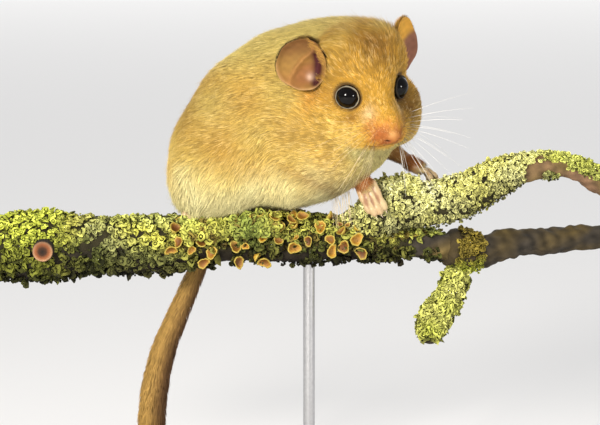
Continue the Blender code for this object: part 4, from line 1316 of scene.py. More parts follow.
# Ears: forms on the blade, in shares of its half width (outward) and half length (along its lean)
EAR_RIDGE_LINE = ((-0.75, 0.28), (-0.64, 0.17), (-0.15, 0.20), (0.32, 0.09), (0.70, -0.12), (0.88, -0.31))
EAR_HOLE_LINE = ((-0.66, -0.02), (-0.50, -0.28), (-0.30, -0.50), (0.02, -0.82))
CONCHA_AT = (0.15, -0.35)
CONCHA_RADII = (0.60, 0.38)
LOBE_AT = (0.11, -0.50)


def line_distance(x, y, line):
    """Distance on the blade to a line of straight parts."""
    nearest = np.full(np.shape(x), np.inf)
    for (start_x, start_y), (end_x, end_y) in zip(line, line[1:]):
        step_x, step_y = end_x - start_x, end_y - start_y
        share = ((x - start_x) * step_x + (y - start_y) * step_y) / (step_x ** 2 + step_y ** 2)
        share = np.clip(share, 0, 1)
        nearest = np.minimum(nearest, np.hypot(x - start_x - share * step_x, y - start_y - share * step_y))
    return nearest


def ear_forms(x, y):
    """Shares of the ridge, the deep bowl, the dark hole and the pale lobe at places on the blade."""
    ridge = np.exp(-(line_distance(x, y, EAR_RIDGE_LINE) / 0.10) ** 2)
    off = ((x - CONCHA_AT[0]) / CONCHA_RADII[0]) ** 2 + ((y - CONCHA_AT[1]) / CONCHA_RADII[1]) ** 2
    bowl = np.exp(-off ** 1.5)
    hole = np.exp(-(line_distance(x, y, EAR_HOLE_LINE) / 0.21) ** 2)
    lobe = np.exp(-(np.hypot(x - LOBE_AT[0], y - LOBE_AT[1]) / 0.14) ** 2)
    return ridge, bowl, hole, lobe


def ear_surface(name, x, y, back):
    """Places on the ear's blade, front or back, from its outline coordinates."""
    outward, lean, face, half_width, half_length = ear_frame(name)
    reach = np.minimum(np.hypot(x, y), 1)
    ridge, bowl, hole, lobe = ear_forms(x, y)
    depth = EAR_RIM_CURL * x * x * np.where(x > 0, 1.0, 0.35) - EAR_CUP * (1 - reach ** 2)
    inner = 1 - reach ** 8
    depth += (0.60 * ridge - 0.85 * bowl - 1.0 * hole + 0.5 * lobe) * MM * inner
    depth += 0.40 * MM * smooth(reach, 0.82, 1.0) * smooth(y, -0.5, 0.4)
    if back:
        depth -= EAR_THICKNESS * (1.0 + 1.0 * (1 - reach ** 2))
    flat = outward * (x * half_width * (1 + 0.10 * y))[:, None] + lean * (y * half_length)[:, None]
    return ear_place(name) + lean * half_length + flat + face * depth[:, None]


def ear_tone(name, x, y):
    """Colours of the ear's bare inner face."""
    ridge, bowl, hole, lobe = ear_forms(x, y)
    tone = mixed(EAR_FLANGE, EAR_TOP, smooth(y - 0.5 * x, 0.05, 0.9))
    tone = mixed(tone, EAR_RIDGE, 0.6 * smooth(x - 0.3 * y, 0.55, 0.95))
    tone = mixed(tone, EAR_CONCHA, np.clip(1.15 * bowl, 0, 0.9))
    tone = mixed(tone, EAR_RIDGE, 0.6 * ridge)
    # The opening's dark purple: partly its skin, partly painted shade in the hole.
    tone = mixed(tone, EAR_HOLE, np.clip(1.3 * hole, 0, 0.95))
    # The pale lobe: partly its own pale skin, partly a painted highlight.
    tone = mixed(tone, EAR_LOBE, 0.9 * np.clip(lobe, 0, 1))
    tone = mixed(tone, EAR_EDGE, 0.6 * smooth(np.hypot(x, y), 0.88, 1.0) * smooth(x - y, -0.2, 0.5))
    if name == "left":
        tone = mixed(tone, EAR_MAUVE, 0.75)
        tone = mixed(tone, HEAD_BRIGHT, 0.8 * far_band(x, y))
    return tone


def ear(name):
    """The bare blade of one ear, front and back, as a closed sheet."""
    rings, spokes = 34, 96
    reach, turn = np.meshgrid(np.linspace(0, 1, rings + 1)[1:] ** 0.85, turns(spokes), indexing="ij")
    reach, turn = reach.ravel(), turn.ravel()
    waves = reach * (1 + 0.014 * np.sin(5 * turn + 1) + 0.01 * np.sin(9 * turn))
    x = np.concatenate([[0], waves * np.sin(turn)])
    y = np.concatenate([[0], waves * np.cos(turn)])
    layers, colours = [], []
    for back in (False, True):
        layers.append(ear_surface(name, x, y, back))
        tone = EAR_TOP if back else ear_tone(name, x, y)
        colours.append(tone * (1 + 0.07 * wander(layers[-1], 0.9, 53))[:, None])
    half = 1 + rings * spokes
    sheet = np.vstack([fan(0, 1 + np.arange(spokes)), 1 + grid_triangles(rings, spokes)])
    rim = 1 + (rings - 1) * spokes + np.arange(spokes)
    following = np.roll(rim, -1)
    edge = np.vstack([np.stack([rim, rim + half, following + half], axis=1),
                      np.stack([rim, following + half, following], axis=1)])
    triangles = np.vstack([sheet, sheet[:, ::-1] + half, edge])
    obj = object_from_arrays("ear_skin_" + name, np.vstack(layers), triangles)
    faced_outward(obj)
    paint(obj, np.vstack(colours))
    return obj


def far_band(x, y):
    """The golden furred part of the far ear's face, next to the crown and over the tip."""
    return smooth(-x + 0.45 * y, -0.42, -0.12)


def ear_coat(name):
    """Short hairs on the ear's back, along its rim, and on its face next to the head."""
    outward, lean, face, _, half_length = ear_frame(name)
    right = name == "right"
    count = EAR_TUFTS
    turn, reach = RNG.uniform(0, FULL_TURN, count), np.sqrt(RNG.uniform(0.05, 1, count))
    turn[:EAR_INNER_TUFTS] = RNG.uniform(1.25 * math.pi, 1.85 * math.pi, EAR_INNER_TUFTS)
    at_rim = RNG.random(count) < 0.25
    at_rim[:EAR_INNER_TUFTS] = True
    reach = np.where(at_rim, 0.985, reach)
    x, y = reach * np.sin(turn), reach * np.cos(turn)
    front = ~at_rim & (RNG.random(count) < 0.5)
    furry = smooth(-x + 0.12 * RNG.normal(size=count), 0.62, 0.90) if right else far_band(x, y)
    keep = ~front | (RNG.random(count) < 0.45 + 0.55 * furry)
    x, y, at_rim, front, furry = (values[keep] for values in (x, y, at_rim, front, furry))
    count = len(x)
    roots = np.where(front[:, None], ear_surface(name, x, y, False), ear_surface(name, x, y, True))
    facing = np.where(front, 1.0, -1.0)[:, None] * face
    from_middle = unit(roots - ear_place(name) - lean * half_length)
    normals = unit(facing + 0.8 * at_rim[:, None] * from_middle)
    lie = lean + 0.6 * unit(roots - ear_place(name)) + 0.25 * RNG.normal(size=roots.shape)
    lie = lie + outward * (0.3 * front + 0.9 * smooth(-x, 0.6, 0.95))[:, None]
    lie = laid_flat(lie, normals)
    velvet = front & (furry < 0.5)
    inner_edge = smooth(-x, 0.5, 0.85)
    low_edge = inner_edge * fade(y, 0.3, 0.8)
    length = RNG.uniform(0.35, 0.8, count) * (1 + 0.5 * inner_edge + 1.2 * low_edge)
    length = length * np.where(velvet, 0.5, 1.0)
    tone = mixed(EAR_FLANGE * 1.15, EAR_GOLD if right else HEAD_BRIGHT, smooth(-x, -0.1, 0.5))
    tone = np.where(velvet[:, None], ear_tone(name, x, y) * 1.05, tone)
    tone = tone * (1 + 0.20 * RNG.normal(size=count))[:, None]
    uv = np.stack([(0.02 if right else 0.24) + 0.1 + 0.09 * x, 0.12 + 0.09 * y], axis=1)
    width, rise = np.full(count, 0.07), 0.28 + 0.35 * at_rim
    # Darker roots: painted shade inside the hair.
    hair = (roots, normals, lie, length, width, rise, tone * 0.75, tone, uv)
    coat_pieces("coat_ear_" + name, hair, bent=False)


# Hands and feet

def nearest_axis(place):
    """The nearest point of the branch's centre lines to a place, both in millimetres."""
    axis = np.vstack([smooth_run(run, 40)[:, :3] for run in (STEM_RUN, UPPER_RUN)])
    return axis[np.argmin(size_of(axis - place))]


def digit_runs(plan):
    """The run of each finger or toe, from inside the palm, over its knuckle, to its tip."""
    palm = plan["palm"]
    root = np.array(palm[-1][:3])
    spread = np.array(plan["spread"])
    middle = (len(plan["tips"]) - 1) / 2
    for index, tip in enumerate(plan["tips"]):
        aside = spread * (index - middle) * plan["gap"]
        start = root + aside
        inner = root * 0.35 + np.array(palm[-2][:3]) * 0.65 + aside * 0.5
        tip = np.array(tip)
        away = start - nearest_axis(start)
        away /= np.linalg.norm(away)
        knuckle = start * 0.45 + tip * 0.55 + away * FINGER_ARCH
        radius = plan["digit"]
        run = ((*inner, radius), (*start, radius * 1.05), (*knuckle, radius * 0.92),
               (*tip, radius * DIGIT_TIP))
        yield run, tip, unit(tip - knuckle), away


def paw(name):
    """The skin of one hand or foot, with pads along its digits."""
    plan = PAWS[name]
    pieces = [Tube(plan["palm"], 10).mesh(name + "_palm", 20, 14)]
    for run, *_ in digit_runs(plan):
        tube = Tube(run, 24)
        wave = np.sin(np.linspace(0, FULL_TURN * 2.4, 24) + 0.6)
        tube.radii = tube.radii * (1 + 0.10 * wave)
        tube.radii[-5:] *= 1.18
        pieces.append(tube.mesh(name + "_digit", 12, 26, caps=1.0))
    bm = bmesh.new()
    for piece in pieces:
        bm.from_mesh(piece.data)
        bpy.data.objects.remove(piece, do_unlink=True)
    obj = remeshed(name + "_skin", bm, PAW_VOXEL, melting=3)
    obj.data.shade_smooth()
    points = places_of(obj)
    share = 0.5 + 0.5 * wander(points, 1.6, 51)
    tone = mixed(PAW_CREAM, PAW_PINK, 0.15 + 0.4 * share)
    off, between = np.sort([run_distance(points, run) for run, *_ in digit_runs(plan)], axis=0)[:2] / MM
    # Painted shade: dark lines in the grooves between the digits.
    groove = fade(between, 0.0, 0.42) * fade(off, 0.1, 0.5)
    tone = mixed(tone, PAW_SHADE * 0.6, 0.7 * groove)
    root = seat(*plan["palm"][0][:3])
    near_root = fade(size_of(points - root) / MM, 2.6, 5.4)
    if name.startswith("hand"):
        tone = mixed(tone, FOREARM, 0.85 * near_root)
    # Painted shade: the far hand and foot are darkened.
    if name.endswith("left"):
        tone = tone * 0.62
    paint(obj, tone)
    return obj


def claws():
    """A small curved claw at each digit's tip."""
    pieces = []
    for plan in PAWS.values():
        for _, tip, forward, away in digit_runs(plan):
            run = []
            for t in np.linspace(0, 1, 6):
                place = tip + forward * (0.25 + CLAW_LENGTH * t) + away * (0.28 - 0.1 * t - 0.55 * t * t)
                run.append((*place, max(CLAW_RADIUS * (1 - t) ** 0.8, CLAW_TIP)))
            piece = Tube(run, 8, thinnest=CLAW_TIP).mesh("claw", 8, 8, caps=0.5)
            share = smooth(size_of(places_of(piece) - seat(*tip)) / MM, 0.3, 1.2)
            paint(piece, mixed(PAW_SHADE, CLAW, share))
            pieces.append(piece)
    finished(joined("claws", pieces), "claw")


def paw_coat():
    """Short hairs on the backs of the hands and feet, thick and brown at the wrists."""
    for index, (name, plan) in enumerate(PAWS.items()):
        tube = Tube(plan["palm"], 10)
        hand = name.startswith("hand")
        count = HAND_TUFTS if hand else FOOT_TUFTS
        share = RNG.uniform(0.0, 0.97, count)
        angle = RNG.uniform(0, FULL_TURN, count)
        roots, normals, along = tube.at(share, angle, lift=0.02 * MM)
        centre = np.mean([nearest_axis(np.array(station[:3])) for station in plan["palm"]], axis=0)
        away = unit(roots - seat(*centre))
        keep = ((normals * away).sum(axis=1) > 0.1) | (share < 0.45) & hand
        keep &= perch_distance(roots) > 0.2 * MM
        kept = (values[keep] for values in (roots, normals, along, share, angle))
        roots, normals, along, share, angle = kept
        count = len(roots)
        lie = unit(along + 0.25 * RNG.normal(size=roots.shape))
        tone = mixed(CREAM, GOLD, RNG.uniform(0, 0.7, count))
        if hand:
            tone = mixed(FOREARM, tone, 0.7 * smooth(share, 0.7, 1.0))
        shade = 0.7 if name.endswith("left") else 1.0
        tone = tone * (1 + 0.16 * RNG.normal(size=count))[:, None] * shade
        uv = np.stack([0.5 + 0.1 * index + 0.08 * share, 0.05 + 0.1 * angle / FULL_TURN], axis=1)
        length = RNG.uniform(0.6, 1.2, count) * (1.5 - 0.5 * share)
        width, rise = np.full(count, 0.055), np.full(count, 0.24)
        # Darker roots: painted shade inside the hair.
        coat_pieces("coat_" + name, (roots, normals, lie, length, width, rise, tone * 0.75, tone, uv))


# Eyes, lids and whiskers

CHEST_HAIRS = 26

# Whiskers: side of the head, how many rows, and radius at the root in millimetres
WHISKER_ROWS = ((1, 7, 0.036), (-1, 5, 0.040))
WHISKER_BEND = np.array((-0.35, 0.1, -0.45))
WHISKER_ROOT = srgb(60, 40, 28)
WHISKER_TIP = {1: srgb(226, 204, 160), -1: srgb(250, 246, 236)}


def eyeball(side, name):
    bm = bmesh.new()
    bmesh.ops.create_uvsphere(bm, u_segments=64, v_segments=40, radius=EYE_RADIUS)
    for vert in bm.verts:
        vert.co = Vector(eye_place(side) + HEAD_AXES @ np.array(vert.co))
    obj = object_from_bmesh("eyeball_" + name, bm)
    obj.data.shade_smooth()
    finished(obj, "eye", ("eye_" + name,))


def lid(side, name):
    """The thin pale edge of the lids with a dark rim inside and out."""
    look = head_direction(EYE_LOOK, side)
    across = unit(np.cross(look, (0.0, 0.0, 1.0)))
    other = np.cross(look, across)
    around, through = 72, 12
    turn, section = np.meshgrid(turns(around), turns(through), indexing="ij")
    turn, section = turn.ravel(), section.ravel()
    opening = LID_ANGLE + 0.03 * np.cos(2 * turn + 0.6) + 0.012 * np.sin(7 * turn)
    out = across * np.cos(turn)[:, None] + other * np.sin(turn)[:, None]
    ray = look * np.cos(opening)[:, None] + out * np.sin(opening)[:, None]
    tangent = out * np.cos(opening)[:, None] - look * np.sin(opening)[:, None]
    thick = LID_RADIUS * (1 + 0.12 * np.sin(3 * turn + 1))
    swell = ray * np.sin(section)[:, None] * 0.9 + tangent * np.cos(section)[:, None] * 1.25
    places = eye_place(side) + ray * (EYE_RADIUS + 0.05 * MM) + swell * thick[:, None]
    obj = object_from_arrays("lid_" + name, places, grid_triangles(around, through, ring=True))
    faced_outward(obj)
    inner = smooth(-np.cos(section), 0.60, 0.95)
    outer = smooth(np.cos(section), 0.35, 0.8)
    dark = np.clip(inner + 0.9 * outer + 0.15 * np.sin(9 * turn), 0, 1)
    # Painted shade: the far eye's lid ring is darkened, as in the shade of its hollow.
    if side < 0:
        dark = 0.88 + 0.12 * dark
    # Painted highlight: one side of the pale ring is lighter.
    pale = LID_PALE * (0.85 + 0.25 * np.sin(turn - 0.6))[:, None]
    paint(obj, mixed(pale, LID_DARK, dark))
    return obj


def bristle(run, stations, thick, thin):
    """One long hair through a run of places, tapering between two radii in millimetres."""
    tube = Tube([(*place, 1.0) for place in run], stations)
    tube.radii = np.interp(np.linspace(0, 1, stations), (0, 1), (thick, thin)) * MM
    return tube.mesh("hair", 5, stations, caps=0.5)


def whiskers():
    """Long fine hairs in rows on each side of the muzzle, dark at the root and paler towards the tip."""
    pieces = []
    for side, rows, thick in WHISKER_ROWS:
        for row, column in np.ndindex(rows, 4):
            start = np.array((8.2 - 1.15 * column, 2.6 + 0.55 * column, -4.7 - 3.0 / (rows - 1) * row))
            spread = math.radians(38 + 20 * column + RNG.uniform(-6, 6))
            drop = math.radians(16 - 88 / (rows - 1) * row + RNG.uniform(-6, 6))
            flat = math.cos(drop)
            way = np.array((math.cos(spread) * flat, math.sin(spread) * flat, math.sin(drop)))
            length = RNG.uniform(8, 13) if side > 0 else RNG.uniform(12, 17) + 1.6 * column
            run = []
            for t in np.linspace(-0.02, 1, 12):
                forward, out, up = start + way * length * t + WHISKER_BEND * length * 0.5 * t * t
                run.append((on_head(forward, out * side, up) - BRANCH_AT) / MM)
            piece = bristle(run, 14, thick, thick * 0.3)
            root = on_head(start[0], start[1] * side, start[2])
            share = smooth(size_of(places_of(piece) - root) / MM, 2, 6)
            paint(piece, mixed(WHISKER_ROOT, WHISKER_TIP[side], share))
            pieces.append(piece)
    finished(joined("whiskers", pieces), "whisker")


def chest_hairs():
    """A few long pale hairs that hang from the chest towards the branch."""
    pieces = []
    for _ in range(CHEST_HAIRS):
        start = np.array((RNG.uniform(6.5, 10.8), RNG.uniform(-7.5, -3.5), 14.0))
        way = unit(np.array((RNG.uniform(-0.15, 0.25), RNG.uniform(-0.35, 0.0), -1.0)))
        length = RNG.uniform(7.0, 11.0)
        run = [start + way * length * t + np.array((0.6, 0.2, 0)) * t * t for t in np.linspace(0, 1, 6)]
        pieces.append(bristle(run, 10, 0.05, 0.02))
        paint(pieces[-1], WHISKER_TIP[1] * RNG.uniform(0.75, 1.1))
    finished(joined("chest_hairs", pieces), "whisker")


# Branch and lichen

LOBE_KINDS = 8
LOBE_SEED = 70
LICHEN_LIGHT = (0.0, -0.55, 0.85)
LEFT_END = -52
CUP_SIDES = 18

# The spore cup's outline from its foot, over its rim, to its middle: radius, height, and share of
# the rim's colour
CUP_PROFILE = ((0.0, -0.45, 0.5), (0.35, -0.40, 0.5), (0.80, 0.00, 0.8), (1.0, 0.30, 1.0),
               (1.04, 0.44, 1.0), (0.92, 0.48, 1.0), (0.76, 0.30, 0.7), (0.50, 0.06, 0.25),
               (0.0, -0.02, 0.0))


def lobe_template(seed, spokes):
    """A small lumpy leaf, its root at the origin and its tip towards +Y, closed to a point underneath."""
    rng = np.random.default_rng(seed)
    notch = rng.uniform(0.70, 1.25, spokes)
    curl = rng.uniform(-0.34, 0.14, spokes)
    dome = rng.uniform(0.08, 0.30)
    places = [np.array((0, 0.35, dome))]
    for reach in (0.55, 1.0):
        for spoke in range(spokes):
            turn = FULL_TURN * spoke / spokes
            out = reach * 0.5 * (notch[spoke] if reach == 1.0 else 1)
            lift = curl[spoke] * reach ** 2 + dome * (1 - reach ** 2) + rng.uniform(-0.05, 0.05)
            places.append(np.array((out * math.sin(turn), 0.35 + out * math.cos(turn) * 1.15, lift)))
    places.append(np.array((0, 0.30, -0.34)))
    ring = 1 + np.arange(spokes)
    triangles = np.vstack([fan(0, ring, flipped=True), 1 + grid_triangles(2, spokes)[:, ::-1],
                           fan(len(places) - 1, ring + spokes)])
    places = np.array(places)
    towards_tip = smooth(places[:, 1], -0.2, 0.9)
    share = np.clip(0.3 + 0.7 * towards_tip, 0, 1)
    share[-1] = 0
    return places, triangles, share


def cup_template():
    """A shallow cup with a raised, rounded rim, on a short foot, facing +Z."""
    sides = CUP_SIDES
    radii, heights, rim_share = np.array(CUP_PROFILE).T
    turn = turns(sides)
    rows = [np.stack([radius * np.cos(turn), radius * np.sin(turn), np.full(sides, height)], axis=1)
            for radius, height in zip(radii[1:-1], heights[1:-1])]
    places = np.vstack([[(0, 0, heights[0])], *rows, [(0, 0, heights[-1])]])
    ring = 1 + np.arange(sides)
    inside = (len(rows) - 1) * sides
    triangles = np.vstack([fan(0, ring, flipped=True), 1 + grid_triangles(len(rows), sides),
                           fan(1 + inside + sides, inside + ring)])
    share = np.concatenate([[rim_share[0]], np.repeat(rim_share[1:-1], sides), [rim_share[-1]]])
    return places, triangles, share


def copies(template, centres, frames, sizes):
    """Copies of a template at centres, each turned by its frame and scaled, as one set of arrays."""
    places, triangles, share = template
    count = len(centres)
    turned_places = np.einsum("nij,kj->nki", frames, places) * sizes[:, None, None] + centres[:, None]
    shifted = triangles[None] + (np.arange(count) * len(places))[:, None, None]
    return turned_places.reshape(-1, 3), shifted.reshape(-1, 3), np.tile(share, count)


def frames_on(normals, ways):
    """Turning frames whose third axis is the normal and whose second points along the way."""
    along = laid_flat(ways, normals)
    return np.stack([np.cross(along, normals), along, normals], axis=2)


def lichen(name, tube, count, size, tones, clear=None, light_side=0.45, along=(0.0, 1.0), spokes=8,
           angles=(0, 360), stand=0.45, upright=0.0, gaps=-0.35, lifts=0.5, base_lift=-0.1):
    """Ruffled lobes over a tube, thicker on the lit side and above.

    Where they grow is given as shares of the tube's length and as angles in degrees around it.
    Of the dark side's lobes the share in light_side is kept, and gaps is the level of a patchy field
    under which most are left out. They tilt at random by stand, upright turns their tips up, and
    lifts and base_lift raise them, in shares of their size and in millimetres.
    """
    share = RNG.uniform(*along, count)
    angle = RNG.uniform(*np.radians(angles), count)
    roots, normals, _ = tube.at(share, angle, lift=base_lift * MM)
    lit = 0.5 + 0.5 * (normals @ unit(np.array(LICHEN_LIGHT)))
    patchy = 0.5 + 0.5 * wander(roots, 4, 61)
    keep = RNG.random(count) < np.clip(light_side + (1 - light_side) * lit ** 0.8 + 0.25 * patchy, 0, 1)
    keep &= (wander(roots, 2.6, 71) > gaps) | (RNG.random(count) < 0.4) | (roots[:, 0] < LEFT_END * MM)
    if clear is not None:
        keep &= clear(roots)
    roots, normals, lit = (values[keep] for values in (roots, normals, lit))
    count = len(roots)
    way = unit(RNG.normal(size=(count, 3)) + upright * np.array((0, 0, 5.0)))
    tilted = unit(normals + stand * RNG.normal(size=(count, 3)) + np.array((0, -0.1 - 1.2 * upright, 0.2)))
    frames = frames_on(tilted, way)
    sizes = size * MM * RNG.uniform(0.45, 1.4, count) * (0.7 + 0.3 * smooth(lit, 0.2, 0.7))
    lift = RNG.random(count) ** 1.3 * lifts * size * MM
    kinds = RNG.integers(0, LOBE_KINDS, count)
    places, triangles, colours = [], [], []
    start = 0
    for kind in range(LOBE_KINDS):
        chosen = kinds == kind
        raised = roots[chosen] + normals[chosen] * lift[chosen, None]
        template = lobe_template(LOBE_SEED + kind, spokes)
        made, faces, edge = copies(template, raised, frames[chosen], sizes[chosen])
        per_lobe = len(made) // max(chosen.sum(), 1)
        # Painted shade: lobes that sit low among the others are darker.
        low = 0.40 + 0.60 * smooth(lift[chosen] / size / MM, 0.03, 0.34)
        base = tones(roots[chosen], lit[chosen]) * low[:, None]
        base = base * np.clip(1 + 0.18 * RNG.normal(size=(chosen.sum(), 1)), 0.5, 1.4)
        base = np.repeat(base, per_lobe, axis=0)
        pale = mixed(base, LICHEN_PALE, 0.22 * base.mean(axis=1) / LICHEN_PALE.mean())
        pale = pale * np.repeat(low, per_lobe)[:, None]
        places.append(made)
        triangles.append(faces + start)
        # Painted shade: each lobe darkens towards its root, under its paler edge.
        colours.append(mixed(base * 0.4, pale * 1.15, smooth(edge, 0.1, 0.9)))
        start += len(made)
    obj = object_from_arrays(name, np.vstack(places), np.vstack(triangles))
    paint(obj, np.vstack(colours))
    finished(obj, "lichen")


def cups(name, tube, count, along, middle, spread, sizes, raised=1.0):
    """Ochre spore cups with thin pale rims and uneven outlines, facing outwards in groups.

    They grow around an angle in degrees on the tube, spread by so many radians. Their sizes are
    widths, and like raised they are in millimetres.
    """
    share = RNG.uniform(*along, count)
    angle = math.radians(middle) + spread * RNG.normal(size=count)
    radius = RNG.uniform(*sizes, count) * MM / 2 * 1.15
    roots, normals, _ = tube.at(share, angle, lift=raised * MM)
    kept = []
    for index in np.argsort(-radius):
        if (size_of(roots[index] - roots[kept]) > 0.95 * (radius[index] + radius[kept])).all():
            kept.append(index)
    roots, normals, radius = roots[kept], normals[kept], radius[kept]
    number = len(kept)
    roots = roots + normals * (RNG.uniform(-0.3, 0.5, number) * MM)[:, None]
    facing = unit(normals + 0.40 * RNG.normal(size=normals.shape) + np.array((0, -0.15, 0.1)))
    frames = frames_on(facing, unit(RNG.normal(size=normals.shape)))
    template = cup_template()
    made, faces, rim = copies(template, roots, frames, radius)
    per_cup = len(made) // number
    around = np.tile(np.arctan2(template[0][:, 1], template[0][:, 0]), number)
    first, second, third = (np.repeat(RNG.uniform(0, FULL_TURN, number), per_cup) for _ in range(3))
    wobble = 1 + 0.14 * np.sin(2 * around + first) + 0.11 * np.sin(3 * around + second)
    wobble = wobble + 0.06 * np.sin(7 * around + third)
    centre = np.repeat(roots, per_cup, axis=0)
    base = mixed(CUP_OCHRE, CUP_BROWN, RNG.uniform(0, 1, number))
    base = np.repeat(base * (1 + 0.12 * RNG.normal(size=(number, 1))), per_cup, axis=0)
    base = base * (1 + 0.14 * wander(made, 0.7, 72))[:, None]
    obj = object_from_arrays(name, centre + (made - centre) * wobble[:, None], faces)
    # Painted shade: each cup darkens towards its middle.
    base = base * (0.50 + 0.50 * smooth(rim, 0.0, 0.6))[:, None]
    paint(obj, mixed(base, CUP_RIM, 0.85 * smooth(rim, 0.6, 1.0)))
    finished(obj, "lichen_cup")


def stem_tones(roots, lit):
    """Lichen colours along the stem, with painted shade underneath and painted shadow under the animal: lime
    at its left end, greyish, then yellow.
    """
    along = from_branch(roots)[0]
    tone = mixed(LICHEN_YELLOW, LICHEN_GREEN, 0.5 + 0.5 * wander(roots, 5, 62))
    greyish = smooth(along, -52, -44) * fade(along, -30, -22)
    tone = mixed(tone, LICHEN_GREY, 0.5 * greyish * (0.5 + 0.5 * wander(roots, 6, 64)))
    tone = mixed(tone, LICHEN_LIME, 0.8 * fade(along, -56, -48))
    rusty = RNG.random(len(roots)) < 0.16 * smooth(along, -30, -20)
    tone = np.where(rusty[:, None], mixed(tone, CUP_BROWN, 0.7), tone)
    shade = 0.04 + 0.18 * smooth(lit, 0.1, 0.65) + 0.72 * smooth(lit, 0.70, 1.0)
    # Painted shadow of the animal on the stem under it, and darker in a band further left.
    darkened = smooth(along, -26, -16) + smooth(-along, 34, 40) * smooth(along, -56, -50)
    return tone * (shade * (1 - 0.36 * darkened))[:, None]


def upper_tones(roots, lit):
    """Pale lemon along the upper limb, yellow by the fork and lime towards its end."""
    along = from_branch(roots)[0]
    tone = mixed(LICHEN_LEMON, LICHEN_PALE, 0.45 + 0.4 * wander(roots, 4, 65))
    tone = mixed(tone, LICHEN_YELLOW, 0.6 * np.exp(-((along - 40) / 4) ** 2))
    tone = mixed(tone, LICHEN_LIME, 0.7 * smooth(along, 48, 58)) * (1 - 0.2 * smooth(along, 56, 66))[:, None]
    # Painted shade: darker where the lobes face away from the light.
    return tone * (0.14 + 0.36 * smooth(lit, 0.1, 0.65) + 0.50 * smooth(lit, 0.65, 1.0))[:, None]


def fork_tones(roots, _):
    """Mossy brown above, bright yellow where the stub begins."""
    height = from_branch(roots)[2]
    tone = mixed(LICHEN_MOSS, LICHEN_LIME, fade(height, -6.5, -3.5))
    return tone * (0.50 + 0.15 * wander(roots, 2, 76))[:, None]


def stub_tones(roots, lit):
    """Lemon and lime over the broken stub, with painted shade underneath."""
    tone = mixed(LICHEN_LEMON, LICHEN_LIME, 0.50 + 0.25 * wander(roots, 4, 66))
    return mixed(tone * 0.22, tone * 0.72, smooth(lit, 0.1, 0.8))


def bark_limb(limb, tube, sides, rows, rough, tones, bare_from=None):
    """The bark core of one limb, in place of its solid, bare of lichen from a place along the branch."""
    name = limb + "_bark"
    obj = tube.mesh(name, sides, rows, rough=rough, seed=len(name))
    points = places_of(obj)
    along, _, height = from_branch(points)
    tone = mixed(*tones, np.clip(0.5 + 0.5 * wander(points, 4, 67), 0, 1))
    if bare_from is not None:
        tone = mixed(LICHEN_SHADE, tone, smooth(along, bare_from, bare_from + 4))
        # Painted shade: the stem's bark is darker underneath, below the animal.
        tone = mixed(tone, BARK_DARK, 0.8 * smooth(-height, 0.5, 2.5) * (along < 14))
    paint(obj, tone * (1 + 0.26 * wander(points, 1.1, 68))[:, None])
    finished(obj, "bark", ("perch_" + limb,))


def snag():
    """The broken end of a side twig, with a brown ring around its dark middle."""
    obj = Tube(SNAG_RUN, 8, shrink=0.3).mesh("snag", 28, 18, caps=0.15)
    points = places_of(obj)
    off = size_of((points - seat(*SNAG_RUN[-1][:3]))[:, [0, 2]]) / MM
    front = smooth(-points[:, 1] / MM, 11.0, 11.5)
    tone = mixed(SNAG_RING, BARK_DARK, 1 - smooth(off, 0.7, 1.3) * front)
    paint(obj, mixed(tone, BROKEN_WOOD, 0.5 * front * smooth(off, 1.7, 2.1)))
    finished(obj, "bark")


def off_the_body(roots):
    return coat_distance(roots) > 0.3 * MM


def stem_clear(roots):
    """Where lichen grows on the stem: not in the fork, in bare places, or under the animal."""
    along, _, height = from_branch(roots)
    bare = (along > 22) & (wander(roots, 4, 73) < -0.25)
    bare |= (np.abs(along + 3) < 16) & (-height > 1.5) & (wander(roots, 3.2, 75) < 0.25)
    return off_the_body(roots) & (run_distance(roots, UPPER_RUN, LIMB_BLEND) > -1.5 * MM) & ~bare


def upper_clear(roots):
    """Where lichen grows on the upper limb: only on top towards its end, but for one clump."""
    axis = np.array(UPPER_RUN)
    along, _, height = from_branch(roots)
    above = height - np.interp(along, axis[:, 0], axis[:, 2])
    clump = (np.abs(along - 55) < 2) & (above < -0.8)
    bare = (along > 49) & (above < np.where(along < 59, 1.4, 0.2)) & ~clump
    return off_the_body(roots) & (run_distance(roots, STEM_RUN, LIMB_BLEND) > -1.5 * MM) & ~bare


